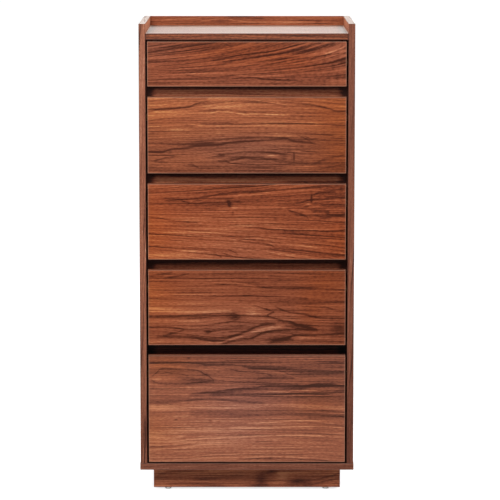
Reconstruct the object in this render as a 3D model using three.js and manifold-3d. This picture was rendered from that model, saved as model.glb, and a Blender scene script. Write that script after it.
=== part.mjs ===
// Tall chest of drawers in walnut veneer: a case on a recessed plinth, a top with a low gallery
// on three sides, and five inset drawers that hang on hardwood runners.
// Millimetres. +Z is up, the front faces -Y, and the origin is on the floor under the middle of
// the case.

import * as THREE from "three";
import { RoundedBoxGeometry } from "three/addons/geometries/RoundedBoxGeometry.js";
import { mergeVertices } from "three/addons/utils/BufferGeometryUtils.js";
import Module from "manifold-3d";

const wasm = await Module();
wasm.setup();

// ---------------------------------------------------------------- driving dimensions: the case
const CASE_WIDTH = 545;
const CASE_DEPTH = 400;
const PANEL = 17; // thickness of the side, top and bottom panels
const BOTTOM_OVERHANG = 1; // the bottom panel stands this far proud of each side
const GALLERY_HEIGHT = 24; // over the top surface
const BACK_RAIL_THICKNESS = 17; // the rail behind the top panel, whose upper part is the gallery
const CASE_ARRIS = 0.8; // radius that eases the edges of the case panels

const BACK_THICKNESS = 4;
const BACK_SLOT_DEPTH = 5;

const RAIL_THICKNESS = 17;
const RAIL_OVER_FRONT = 15; // how far a rail reaches down behind the drawer front under it
const RAIL_UNDER_FRONT = 12; // how far it reaches up behind the drawer front above it
const FINGER_DEPTH = 13; // from the back of the drawer fronts to the rails

// ------------------------------------------------------------ driving dimensions: plinth, feet
const PLINTH_HEIGHT = 53;
const PLINTH_THICKNESS = 17;
const PLINTH_FRONT_RECESS = 35;
const PLINTH_SIDE_INSET = 32.5;
const PLINTH_BACK_INSET = 20;
const GLIDE_DIAMETER = 16;
const GLIDE_HEIGHT = 5;
const GLIDE_CHAMFER = 1.5;
const GLIDE_END_INSET = 37; // from the end of the plinth to the middle of a glide
const BLOCK_LEG = 36; // a corner block, along each board that it is glued to
const BLOCK_NOSE = 4; // the blunt end of each leg
const BLOCK_HEIGHT = 42;

// ------------------------------------------------------------- driving dimensions: the drawers
const TOP_FRONT = 114; // heights of the drawer fronts
const MIDDLE_FRONT = 194;
const DEEP_FRONT = 278;
const FRONT_THICKNESS = 17;
const FRONT_ARRIS = 1;
const REVEAL = 3; // gap over the top front and under the lowest one
const SIDE_REVEAL = 4; // gap between the ends of a front and the case sides
const FINGER_GAP = 26; // gap between two fronts, where the fingers go in

const BOX_SIDE = 15; // thicknesses of the box boards
const BOX_BACK = 12;
const BOX_BOTTOM = 5;
const BOX_SIDE_GAP = 5; // from a box side to the case side
const BOX_RAIL_GAP = 5; // from a box to the rails over and under it
const BOX_REAR_GAP = 22; // from a box to the back panel
const BOX_EDGE_RADIUS = 3; // rounds the top edges of the box boards
const BOTTOM_SLOT_DEPTH = 6;
const BOTTOM_SLOT_LIFT = 9; // from the lower edge of a box to the slot that holds its bottom

const RUNNER_HEIGHT = 15;
const RUNNER_ARRIS = 0.6;
const RUNNER_BELOW_BOX_TOP = 36; // to the middle of the runner
const RUNNER_NOSE_SETBACK = 15; // from the back of a drawer front to the tip of the runner
const RUNNER_REAR_GAP = 4; // from a runner to the back panel
const RUN_GROOVE_DEPTH = 8;

// ------------------------------------------------------------------------------- clearances
const GLUE_LINE = 0.05; // glue between two pieces that are fixed to each other
const SLOT_CLEARANCE = 0.2; // either side of a thin panel in its slot
const SLOT_END_CLEARANCE = 0.5; // from the edge of a thin panel to the foot of its slot
const RUN_TOP_CLEARANCE = 0.3; // the groove rests this far over its runner
const RUN_TOTAL_CLEARANCE = 1; // how much taller the groove is than its runner
const RUN_SIDE_CLEARANCE = 0.7; // from a runner to the foot of the groove

const ARC_STEPS = 3; // facets in a quarter of a rounded edge
const NOSE_STEPS = 8; // facets in a quarter of a runner's nose
const GLIDE_SIDES = 32;
const CUT_PAST = 1; // a cut that leaves the piece runs on this far

// --------------------------------------------------------------------------- derived places
const INNER_HALF = CASE_WIDTH / 2 - PANEL;
const FACE_Y = -CASE_DEPTH / 2;
const REAR_Y = CASE_DEPTH / 2;
const BACK_RAIL_Y = REAR_Y - BACK_RAIL_THICKNESS;
const BACK_PANEL_Y = BACK_RAIL_Y + (BACK_RAIL_THICKNESS - BACK_THICKNESS) / 2;
const BEHIND_FRONTS_Y = FACE_Y + FRONT_THICKNESS;

const PLINTH_HALF = CASE_WIDTH / 2 - PLINTH_SIDE_INSET;
const PLINTH_FRONT_Y = FACE_Y + PLINTH_FRONT_RECESS;
const PLINTH_REAR_Y = REAR_Y - PLINTH_BACK_INSET;

const BOTTOM_PANEL_Z = GLIDE_HEIGHT + PLINTH_HEIGHT;
const CASE_FLOOR_Z = BOTTOM_PANEL_Z + PANEL;

const BOX_HALF = INNER_HALF - BOX_SIDE_GAP;
const BOX_INNER_HALF = BOX_HALF - BOX_SIDE;
const BOX_REAR_Y = BACK_PANEL_Y - BOX_REAR_GAP;
const BOX_DROP = RAIL_OVER_FRONT + BOX_RAIL_GAP; // box top, under the top edge of its front
const BOX_LIFT = RAIL_UNDER_FRONT + BOX_RAIL_GAP; // box foot, over the bottom edge of its front
const RUNNER_PROJECTION = BOX_SIDE_GAP + RUN_GROOVE_DEPTH - RUN_SIDE_CLEARANCE;
const RUNNER_THICKNESS = RUNNER_PROJECTION - GLUE_LINE;
const RUNNER_NOSE_Y = BEHIND_FRONTS_Y + RUNNER_NOSE_SETBACK;

// The foot of each drawer front and of the top panel, stacked from the floor of the case up.
// Drawer 1 is at the top.
const DRAWERS = [TOP_FRONT, MIDDLE_FRONT, MIDDLE_FRONT, MIDDLE_FRONT, DEEP_FRONT].map(
  (height, index) => ({ number: index + 1, height }),
);
let nextFoot = CASE_FLOOR_Z + REVEAL;
for (const drawer of DRAWERS.toReversed()) {
  drawer.foot = nextFoot;
  nextFoot += drawer.height + FINGER_GAP;
}
const TOP_PANEL_Z = nextFoot - FINGER_GAP + REVEAL;
const TOP_SURFACE_Z = TOP_PANEL_Z + PANEL;
const CASE_TOP_Z = TOP_SURFACE_Z + GALLERY_HEIGHT;

// -------------------------------------------------------------------------------- materials
const finish = (color, roughness) =>
  new THREE.MeshStandardMaterial({ color, roughness, metalness: 0 });

const FINISHES = {
  front: finish("#8f5236", 0.42),
  case: finish("#7b5140", 0.45),
  plinth: finish("#6b3d29", 0.45),
  box: finish("#cdb894", 0.6),
  boxBottom: finish("#bfa57c", 0.65),
  back: finish("#8a6a50", 0.7),
  runner: finish("#c79f6b", 0.5),
  glide: finish("#8d8f91", 0.55),
};

// ------------------------------------------------------------------------ solids and booleans
// A closed geometry as a solid that can be cut.
function solidOf(geometry) {
  const bare = geometry.clone();
  bare.deleteAttribute("normal");
  bare.deleteAttribute("uv");
  const merged = mergeVertices(bare);
  return new wasm.Manifold(
    new wasm.Mesh({
      numProp: 3,
      vertProperties: merged.attributes.position.array,
      triVerts: new Uint32Array(merged.index.array),
    }),
  );
}

// A solid as a flat-shaded geometry.
function geometryOf(solid) {
  const mesh = solid.getMesh();
  const shared = new THREE.BufferGeometry();
  shared.setAttribute("position", new THREE.BufferAttribute(mesh.vertProperties, 3));
  shared.setIndex(new THREE.BufferAttribute(mesh.triVerts, 1));
  const geometry = shared.toNonIndexed();
  geometry.computeVertexNormals();
  return geometry;
}

function cut(geometry, ...tools) {
  const left = tools.reduce((solid, tool) => solid.subtract(solidOf(tool)), solidOf(geometry));
  return geometryOf(left);
}

function overlapOf(geometry, other) {
  return geometryOf(solidOf(geometry).intersect(solidOf(other)));
}

// ----------------------------------------------------------------------------- basic forms
// A box between two corners.
function block([x0, y0, z0], [x1, y1, z1]) {
  return new THREE.BoxGeometry(x1 - x0, y1 - y0, z1 - z0).translate(
    (x0 + x1) / 2,
    (y0 + y1) / 2,
    (z0 + z1) / 2,
  );
}

// A box between two corners with all its edges eased.
function easedBlock([x0, y0, z0], [x1, y1, z1], arris) {
  return new RoundedBoxGeometry(x1 - x0, y1 - y0, z1 - z0, 1, arris).translate(
    (x0 + x1) / 2,
    (y0 + y1) / 2,
    (z0 + z1) / 2,
  );
}

// A rectangle from (0, 0) to (width, height), its four corners rounded.
function easedRectangle(width, height, radius) {
  const outline = new THREE.Shape();
  outline.absarc(width - radius, radius, radius, -Math.PI / 2, 0);
  outline.absarc(width - radius, height - radius, radius, 0, Math.PI / 2);
  outline.absarc(radius, height - radius, radius, Math.PI / 2, Math.PI);
  outline.absarc(radius, radius, radius, Math.PI, 1.5 * Math.PI);
  return outline;
}

// A section drawn in plan, extruded up from z = 0.
function extrudeUp(section, height, curveSegments = ARC_STEPS) {
  return new THREE.ExtrudeGeometry(section, { depth: height, bevelEnabled: false, curveSegments });
}

// A section drawn in (y, z), extruded along +X from x = 0.
function extrudeAcross(section, width, options = {}) {
  const settings = { depth: width, bevelEnabled: false, curveSegments: ARC_STEPS, ...options };
  return new THREE.ExtrudeGeometry(section, settings).rotateX(Math.PI / 2).rotateZ(Math.PI / 2);
}

// A section drawn in (x, z), extruded along -Y from y = 0.
function extrudeForward(section, length) {
  const settings = { depth: length, bevelEnabled: false, curveSegments: ARC_STEPS };
  return new THREE.ExtrudeGeometry(section, settings).rotateX(Math.PI / 2);
}

function piece(name, geometry, material, [x, y, z] = [0, 0, 0]) {
  const mesh = new THREE.Mesh(geometry, material);
  mesh.name = name;
  mesh.position.set(x, y, z);
  return mesh;
}

// The two sides of the case: their names, and the sign of their X.
const HANDS = [
  { side: "left", sign: -1 },
  { side: "right", sign: 1 },
];

// ------------------------------------------------------------------------------- case panels
// The slot for the back panel, with a little room in front of the panel and behind it.
const SLOT_FRONT_Y = BACK_PANEL_Y - SLOT_CLEARANCE;
const SLOT_REAR_Y = BACK_PANEL_Y + BACK_THICKNESS + SLOT_CLEARANCE;

// A side panel about the middle of the case. Its slot starts at its foot and stops level with the
// slot in the back rail, so that the gallery shows none of it.
function sidePanelGeometry(sign) {
  const inner = sign * INNER_HALF;
  const outer = sign * (INNER_HALF + PANEL);
  const slotFoot = sign * (INNER_HALF + BACK_SLOT_DEPTH);
  const slotMouth = sign * (INNER_HALF - CUT_PAST);
  const board = easedBlock(
    [Math.min(inner, outer), FACE_Y, CASE_FLOOR_Z + GLUE_LINE],
    [Math.max(inner, outer), REAR_Y, CASE_TOP_Z],
    CASE_ARRIS,
  );
  const slot = block(
    [Math.min(slotFoot, slotMouth), SLOT_FRONT_Y, CASE_FLOOR_Z - CUT_PAST],
    [Math.max(slotFoot, slotMouth), SLOT_REAR_Y, TOP_PANEL_Z + BACK_SLOT_DEPTH],
  );
  return cut(board, slot);
}

function topPanelGeometry() {
  const half = INNER_HALF - GLUE_LINE;
  return easedBlock([-half, FACE_Y, 0], [half, BACK_RAIL_Y - GLUE_LINE, PANEL], CASE_ARRIS);
}

function bottomPanelGeometry() {
  const half = CASE_WIDTH / 2 + BOTTOM_OVERHANG;
  const slotHalf = INNER_HALF + BACK_SLOT_DEPTH;
  const board = easedBlock([-half, FACE_Y, 0], [half, REAR_Y, PANEL], CASE_ARRIS);
  const slot = block(
    [-slotHalf, SLOT_FRONT_Y, PANEL - BACK_SLOT_DEPTH],
    [slotHalf, SLOT_REAR_Y, PANEL + CUT_PAST],
  );
  return cut(board, slot);
}

function backPanelGeometry() {
  const reach = BACK_SLOT_DEPTH - SLOT_END_CLEARANCE;
  const half = INNER_HALF + reach;
  return block(
    [-half, 0, CASE_FLOOR_Z - reach],
    [half, BACK_THICKNESS, TOP_PANEL_Z + reach],
  );
}

// A section in (y, z) as a board between the case sides.
function betweenSides(section) {
  const half = INNER_HALF - GLUE_LINE;
  return extrudeAcross(section, 2 * half).translate(-half, 0, 0);
}

// The rail behind the top panel. It holds the top of the back panel in a slot in its foot, and
// stands over the top surface as the back of the gallery.
function backRailGeometry() {
  const board = betweenSides(
    easedRectangle(BACK_RAIL_THICKNESS, PANEL + GALLERY_HEIGHT, CASE_ARRIS),
  );
  const slot = block(
    [-CASE_WIDTH / 2, SLOT_FRONT_Y - BACK_RAIL_Y, -CUT_PAST],
    [CASE_WIDTH / 2, SLOT_REAR_Y - BACK_RAIL_Y, BACK_SLOT_DEPTH],
  );
  return cut(board, slot);
}

function frontRails() {
  const railHeight = RAIL_OVER_FRONT + FINGER_GAP + RAIL_UNDER_FRONT;
  return DRAWERS.slice(0, -1).map(({ number, foot }) => {
    const railFoot = foot - FINGER_GAP - RAIL_OVER_FRONT;
    return piece(
      `front_rail_${number}`,
      betweenSides(easedRectangle(RAIL_THICKNESS, railHeight, CASE_ARRIS)),
      FINISHES.case,
      [0, BEHIND_FRONTS_Y + FINGER_DEPTH, railFoot],
    );
  });
}

function caseGroup() {
  const group = new THREE.Group();
  for (const { side, sign } of HANDS) {
    group.add(piece(`${side}_side_panel`, sidePanelGeometry(sign), FINISHES.case));
  }
  group.add(piece("top_panel", topPanelGeometry(), FINISHES.case, [0, 0, TOP_PANEL_Z]));
  group.add(piece("bottom_panel", bottomPanelGeometry(), FINISHES.case, [0, 0, BOTTOM_PANEL_Z]));
  group.add(piece("back_panel", backPanelGeometry(), FINISHES.back, [0, BACK_PANEL_Y, 0]));
  group.add(
    piece("gallery_back_rail", backRailGeometry(), FINISHES.case, [0, BACK_RAIL_Y, TOP_PANEL_Z]),
  );
  group.add(...frontRails());
  return group;
}

// ------------------------------------------------------------------------------------ plinth
// A plinth board lies along its length in X, its outer face at y = 0 and the rest behind it.
// Both ends are mitred, so that the outer face is the long one.
function mitredBoardGeometry(length) {
  const half = length / 2 - GLUE_LINE;
  const inner = half - PLINTH_THICKNESS;
  const boardHeight = PLINTH_HEIGHT - 2 * GLUE_LINE;
  const section = easedRectangle(PLINTH_THICKNESS, boardHeight, CASE_ARRIS);
  const board = extrudeAcross(section, 2 * half).translate(-half, 0, 0);
  const plan = new THREE.Shape([
    new THREE.Vector2(-half, 0),
    new THREE.Vector2(half, 0),
    new THREE.Vector2(inner, PLINTH_THICKNESS),
    new THREE.Vector2(-inner, PLINTH_THICKNESS),
  ]);
  const wedge = extrudeUp(plan, PLINTH_HEIGHT + 2 * CUT_PAST).translate(0, 0, -CUT_PAST);
  return overlapOf(board, wedge);
}

// A three-cornered block, its right angle at the origin and its legs along +X and +Y.
function cornerBlockGeometry() {
  const plan = new THREE.Shape([
    new THREE.Vector2(0, 0),
    new THREE.Vector2(BLOCK_LEG, 0),
    new THREE.Vector2(BLOCK_LEG, BLOCK_NOSE),
    new THREE.Vector2(BLOCK_NOSE, BLOCK_LEG),
    new THREE.Vector2(0, BLOCK_LEG),
  ]);
  return extrudeUp(plan, BLOCK_HEIGHT);
}

// The blocks are glued into the corners of the plinth and up against the bottom panel.
function cornerBlocks() {
  const inset = PLINTH_THICKNESS + GLUE_LINE;
  const x = PLINTH_HALF - inset;
  const z = PLINTH_HEIGHT - BLOCK_HEIGHT - 2 * GLUE_LINE;
  const corners = [
    { name: "front_left", turn: 0, place: [-x, PLINTH_FRONT_Y + inset, z] },
    { name: "front_right", turn: 1, place: [x, PLINTH_FRONT_Y + inset, z] },
    { name: "back_right", turn: 2, place: [x, PLINTH_REAR_Y - inset, z] },
    { name: "back_left", turn: 3, place: [-x, PLINTH_REAR_Y - inset, z] },
  ];
  return corners.map(({ name, turn, place }) => {
    const geometry = cornerBlockGeometry().rotateZ((turn * Math.PI) / 2);
    return piece(`plinth_block_${name}`, geometry, FINISHES.runner, place);
  });
}

function plinthGroup() {
  const group = new THREE.Group();
  group.position.z = GLIDE_HEIGHT + GLUE_LINE;
  group.add(...cornerBlocks());
  const depth = PLINTH_REAR_Y - PLINTH_FRONT_Y;
  const middle = (PLINTH_REAR_Y + PLINTH_FRONT_Y) / 2;
  const boards = [
    { name: "front", length: 2 * PLINTH_HALF, turn: 0, place: [0, PLINTH_FRONT_Y, 0] },
    { name: "right", length: depth, turn: 1, place: [PLINTH_HALF, middle, 0] },
    { name: "back", length: 2 * PLINTH_HALF, turn: 2, place: [0, PLINTH_REAR_Y, 0] },
    { name: "left", length: depth, turn: 3, place: [-PLINTH_HALF, middle, 0] },
  ];
  for (const { name, length, turn, place } of boards) {
    const geometry = mitredBoardGeometry(length).rotateZ((turn * Math.PI) / 2);
    group.add(piece(`plinth_${name}_board`, geometry, FINISHES.plinth, place));
  }
  return group;
}

// A nail-on glide: a disc with its foot chamfered.
function glideGeometry() {
  const radius = GLIDE_DIAMETER / 2;
  const section = [
    new THREE.Vector2(0, 0),
    new THREE.Vector2(radius - GLIDE_CHAMFER, 0),
    new THREE.Vector2(radius, GLIDE_CHAMFER),
    new THREE.Vector2(radius, GLIDE_HEIGHT),
    new THREE.Vector2(0, GLIDE_HEIGHT),
  ];
  return new THREE.LatheGeometry(section, GLIDE_SIDES).rotateX(Math.PI / 2);
}

function glides() {
  const rows = [
    { row: "front", y: PLINTH_FRONT_Y + PLINTH_THICKNESS / 2 },
    { row: "back", y: PLINTH_REAR_Y - PLINTH_THICKNESS / 2 },
  ];
  return rows.flatMap(({ row, y }) =>
    HANDS.map(({ side, sign }) => {
      const x = sign * (PLINTH_HALF - GLIDE_END_INSET);
      return piece(`glide_${row}_${side}`, glideGeometry(), FINISHES.glide, [x, y, 0]);
    }),
  );
}

// ----------------------------------------------------------------------------------- runners
// A bar in (y, z) with a round nose towards -Y. The tip of the nose is at y = 0, and z = 0 is
// half way up the bar.
function nosedBar(length, height) {
  const radius = height / 2;
  const outline = new THREE.Shape();
  outline.moveTo(length, -radius);
  outline.lineTo(length, radius);
  outline.absarc(radius, 0, radius, Math.PI / 2, 1.5 * Math.PI);
  return outline;
}

const RUNNER_LENGTH = BACK_PANEL_Y - RUNNER_REAR_GAP - RUNNER_NOSE_Y;

function runnerGeometry() {
  return extrudeAcross(nosedBar(RUNNER_LENGTH, RUNNER_HEIGHT), RUNNER_THICKNESS - 2 * RUNNER_ARRIS, {
    curveSegments: NOSE_STEPS,
    bevelEnabled: true,
    bevelThickness: RUNNER_ARRIS,
    bevelSize: RUNNER_ARRIS,
    bevelOffset: -RUNNER_ARRIS,
    bevelSegments: 1,
  }).translate(RUNNER_ARRIS, 0, 0);
}

function runnerMiddleZ({ foot, height }) {
  return foot + height - BOX_DROP - RUNNER_BELOW_BOX_TOP;
}

function runnersOf(drawer) {
  return HANDS.map(({ side, sign }) => {
    const x = sign < 0 ? GLUE_LINE - INNER_HALF : INNER_HALF - RUNNER_PROJECTION;
    return piece(
      `runner_${drawer.number}_${side}`,
      runnerGeometry(),
      FINISHES.runner,
      [x, RUNNER_NOSE_Y, runnerMiddleZ(drawer)],
    );
  });
}

// ----------------------------------------------------------------------------------- drawers
// Each drawer is drawn about its own origin: the middle of the bottom edge of its front, in the
// plane of the case's face. Heights and depths are measured from there.
const BOX_FRONT_Y = FRONT_THICKNESS;
const BOX_END_Y = BOX_REAR_Y - FACE_Y;
const SLOT_FOOT_Z = BOX_LIFT + BOTTOM_SLOT_LIFT;
const SLOT_HEIGHT = BOX_BOTTOM + 2 * SLOT_CLEARANCE;
const BOTTOM_REACH = BOTTOM_SLOT_DEPTH - SLOT_END_CLEARANCE;

function frontGeometry(height) {
  const half = INNER_HALF - SIDE_REVEAL;
  const board = easedBlock([-half, 0, 0], [half, FRONT_THICKNESS, height], FRONT_ARRIS);
  const slotHalf = BOX_INNER_HALF + BOTTOM_SLOT_DEPTH;
  const slot = block(
    [-slotHalf, FRONT_THICKNESS - BOTTOM_SLOT_DEPTH, SLOT_FOOT_Z],
    [slotHalf, FRONT_THICKNESS + CUT_PAST, SLOT_FOOT_Z + SLOT_HEIGHT],
  );
  return cut(board, slot);
}

// The section of a box board, from (0, 0) up. Its top edges are rounded, and the slot for the
// bottom is in the face at u = thickness. A direction of -1 turns the section round.
function boxBoardSection(thickness, height, direction) {
  const slotU = direction * (thickness - BOTTOM_SLOT_DEPTH);
  const face = direction * thickness;
  const slotTop = BOTTOM_SLOT_LIFT + SLOT_HEIGHT;
  const shoulder = height - BOX_EDGE_RADIUS;
  const radius = BOX_EDGE_RADIUS;
  const section = new THREE.Shape();
  section.moveTo(0, 0);
  section.lineTo(face, 0);
  section.lineTo(face, BOTTOM_SLOT_LIFT);
  section.lineTo(slotU, BOTTOM_SLOT_LIFT);
  section.lineTo(slotU, slotTop);
  section.lineTo(face, slotTop);
  section.lineTo(face, shoulder);
  section.quadraticCurveTo(face, height, face - direction * radius, height);
  section.lineTo(direction * radius, height);
  section.quadraticCurveTo(0, height, 0, shoulder);
  return section;
}

function boxHeight({ height }) {
  return height - BOX_DROP - BOX_LIFT;
}

// A box side, its outer face at x = 0. The groove that runs on the runner is open at the back
// and stops at the front in a round end, which meets the runner's nose when the drawer is shut.
function boxSideGeometry(drawer, sign) {
  const height = boxHeight(drawer);
  const boardLength = BOX_END_Y - BOX_FRONT_Y - GLUE_LINE;
  const board = extrudeForward(boxBoardSection(BOX_SIDE, height, -sign), boardLength);
  const grooveHeight = RUNNER_HEIGHT + RUN_TOTAL_CLEARANCE;
  const grooveMiddle =
    height - RUNNER_BELOW_BOX_TOP + RUN_TOP_CLEARANCE - RUN_TOTAL_CLEARANCE / 2;
  const tipY = RUNNER_NOSE_Y - FACE_Y - RUN_TOTAL_CLEARANCE / 2;
  const length = BOX_END_Y + CUT_PAST - tipY;
  const groove = extrudeAcross(nosedBar(length, grooveHeight), RUN_GROOVE_DEPTH + CUT_PAST, {
    curveSegments: NOSE_STEPS,
  });
  groove.translate(
    sign < 0 ? -CUT_PAST : -RUN_GROOVE_DEPTH,
    tipY,
    grooveMiddle,
  );
  return cut(board.translate(0, BOX_END_Y, 0), groove);
}

function boxBackGeometry(drawer) {
  const section = boxBoardSection(BOX_BACK, boxHeight(drawer), -1);
  const half = BOX_INNER_HALF - GLUE_LINE;
  return extrudeAcross(section, 2 * half).translate(-half, 0, 0);
}

function boxBottomGeometry() {
  const half = BOX_INNER_HALF + BOTTOM_REACH;
  const frontEdge = BOX_FRONT_Y - BOTTOM_REACH;
  const rearEdge = BOX_END_Y - BOX_BACK + BOTTOM_REACH;
  return block([-half, frontEdge, 0], [half, rearEdge, BOX_BOTTOM]);
}

function drawerGroup(drawer) {
  const group = new THREE.Group();
  group.position.set(0, FACE_Y, drawer.foot);
  const name = (part) => `drawer_${drawer.number}_${part}`;
  group.add(piece(name("front"), frontGeometry(drawer.height), FINISHES.front));
  for (const { side, sign } of HANDS) {
    const place = [sign * BOX_HALF, 0, BOX_LIFT];
    group.add(piece(name(`${side}_side`), boxSideGeometry(drawer, sign), FINISHES.box, place));
  }
  group.add(piece(name("back"), boxBackGeometry(drawer), FINISHES.box, [0, BOX_END_Y, BOX_LIFT]));
  group.add(
    piece(name("bottom"), boxBottomGeometry(), FINISHES.boxBottom, [
      0,
      0,
      SLOT_FOOT_Z + SLOT_CLEARANCE,
    ]),
  );
  return group;
}

// ------------------------------------------------------------------------------- the chest
const chest = new THREE.Group();
chest.add(caseGroup());
chest.add(plinthGroup());
chest.add(...glides());
for (const drawer of DRAWERS) {
  chest.add(...runnersOf(drawer));
  chest.add(drawerGroup(drawer));
}

export default chest;
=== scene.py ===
"""Tall chest of drawers in walnut veneer: its finishes, its fittings and the studio.

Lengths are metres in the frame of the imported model: the origin is on the floor under the middle
of the case, +Z is up and the drawer fronts face -Y.
"""

import logging
import math
from dataclasses import dataclass, replace
from enum import Enum
from typing import Optional, Sequence, Union

import bmesh
import bpy
from mathutils import Matrix, Vector


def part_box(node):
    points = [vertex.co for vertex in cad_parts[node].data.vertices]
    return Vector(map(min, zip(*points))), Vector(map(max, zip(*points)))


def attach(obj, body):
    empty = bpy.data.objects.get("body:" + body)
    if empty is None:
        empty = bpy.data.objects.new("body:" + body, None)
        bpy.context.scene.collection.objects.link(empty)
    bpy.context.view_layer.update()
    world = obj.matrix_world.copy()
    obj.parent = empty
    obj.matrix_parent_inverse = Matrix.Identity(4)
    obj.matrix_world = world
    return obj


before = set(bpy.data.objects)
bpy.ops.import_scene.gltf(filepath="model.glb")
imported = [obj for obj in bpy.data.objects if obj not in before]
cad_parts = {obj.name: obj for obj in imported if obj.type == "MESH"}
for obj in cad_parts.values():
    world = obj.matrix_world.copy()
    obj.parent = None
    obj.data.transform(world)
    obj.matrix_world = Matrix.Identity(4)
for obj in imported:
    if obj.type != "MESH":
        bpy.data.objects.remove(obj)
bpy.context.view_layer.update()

LOG = logging.getLogger("chest")

Colour = tuple[float, float, float]
Number = Union[float, "Wire"]
Socket = bpy.types.NodeSocket
MM = 0.001
DRAWERS = range(1, 6)
INWARD = {"left": 1, "right": -1}  # which way along X each side looks into the case
CORNERS = [f"{depth}_{side}" for depth in ("front", "back") for side in INWARD]
WHITE: Colour = (1.0, 1.0, 1.0)
FACING = 0.5  # how far a surface has to face along an axis to count as facing that way
INSIDE = 10 * MM  # a face that looks into the case is further than this from its middle
CASE_MIDDLE = 0.6  # height that the top and the bottom look towards
GALLERY_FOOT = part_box("top_panel")[1].z - 1 * MM  # where the gallery's inside starts
COOL_LEAN = (-0.018, 0.10, 0.38)  # share that red, green and blue gain in a cool brown
# The warm and cool spots are partly the wood's hue and partly a painted reflection of the lamps.
EVEN_CAST = 0.42  # share of cool brown in a sheet of veneer between its warm and cool spots
LAYER_SHIFT = 2.7  # how much further a seed moves a pattern across the grain than along it
RIPPLE_CELLS = (3.5, 18)  # cells a metre, along and across, of the ripple of the growth lines
JITTER_CELLS = (26, 150)  # the same for the jitter of the marks drawn on a sheet
BREAK_CELLS = (6, 140)  # and for the breaks in those marks
JITTER = 4 * MM  # how far the jitter moves the marks, end to end
BREAKS = (0.9, 0.55)  # how much the marks' strength varies, and the least that is left of it
# Painted shade: the fronts' left and right ends are darkened for the shade in the seams beside them.
PAINTED_SEAM_SHADE = -0.5  # what the left and right ends of a veneered front add to its tone


# ------------------------------------------------------------------------------ colours
def srgb(red: float, green: float, blue: float) -> Colour:
    """A colour as it shows on a screen, from 0 to 255, as linear light.

    Args:
        red: Red, 0 to 255.
        green: Green, 0 to 255.
        blue: Blue, 0 to 255.

    Returns:
        The three channels as linear light, 0 to 1.
    """
    def linear(level: float) -> float:
        """One channel as linear light."""
        share = level / 255
        return share / 12.92 if share <= 0.04045 else ((share + 0.055) / 1.055) ** 2.4

    return (linear(red), linear(green), linear(blue))


class Palette(Enum):
    """Colours from darkest to lightest, evenly spaced: most are woods, from the darkest line to the
    lightest streak, and some stand for painted reflection and painted shade.
    """

    WARM = ((60, 25, 10), (97, 47, 27), (130, 68, 41), (151, 83, 51), (188, 123, 79))
    RED = ((60, 24, 9), (99, 46, 25), (136, 68, 38), (158, 87, 52), (193, 128, 80))
    GOLD = ((70, 32, 17), (104, 55, 34), (137, 75, 46), (163, 97, 59), (201, 145, 94))
    GREY = ((64, 36, 27), (97, 57, 43), (134, 78, 56), (160, 97, 68), (197, 135, 95))
    EDGE = ((66, 37, 28), (98, 56, 42), (130, 78, 58), (156, 100, 76), (200, 154, 128))
    # A painted reflection: the pale grey that the tops of the sides take where they catch the light.
    PAINTED_REFLECTION = ((104, 76, 62), (134, 106, 92), (160, 136, 122), (182, 160, 148), (206, 190, 180))
    DUSK = ((60, 32, 24), (86, 47, 35), (114, 66, 49), (136, 84, 64), (180, 130, 106))
    UMBER = ((60, 32, 24), (94, 50, 36), (130, 72, 50), (158, 90, 62), (190, 120, 84))
    RUST = ((60, 26, 17), (98, 48, 30), (138, 72, 44), (166, 95, 62), (200, 132, 92))
    # Darkened walnut for the upper rails: painted shade of the gaps between the drawers.
    SHADE = ((56, 26, 18), (92, 47, 33), (128, 68, 46), (152, 88, 62), (178, 114, 80))
    # Near black for the lowest rail: painted shadow of the deepest gap.
    PAINTED_GAP_SHADOW = ((20, 6, 4), (36, 13, 9), (52, 20, 14), (68, 30, 20), (92, 46, 30))
    BIRCH = ((150, 116, 84), (182, 148, 114), (206, 176, 142), (220, 195, 164), (234, 214, 188))
    PLY = ((142, 106, 74), (174, 138, 102), (198, 164, 128), (214, 184, 150), (228, 202, 172))
    BEECH = ((132, 92, 58), (170, 126, 84), (196, 154, 108), (210, 172, 128), (222, 190, 150))
    PINE = ((150, 110, 66), (188, 150, 100), (212, 178, 128), (224, 196, 150), (234, 212, 172))
    BOARD = ((70, 46, 34), (96, 66, 49), (120, 84, 63), (136, 98, 75), (154, 116, 92))

    def stops(self, cast: float = 0.0) -> list[tuple[float, Colour]]:
        """The colours with their places from 0 to 1.

        Args:
            cast: From -1, where they lean to orange, to 1, where they lean to a cool brown.

        Returns:
            The places and the colours.
        """
        last = len(self.value) - 1
        shares = [1 + cast * lean for lean in COOL_LEAN]
        return [(index / last, srgb(*(level * share for level, share in zip(levels, shares))))
                for index, levels in enumerate(self.value)]


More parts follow.
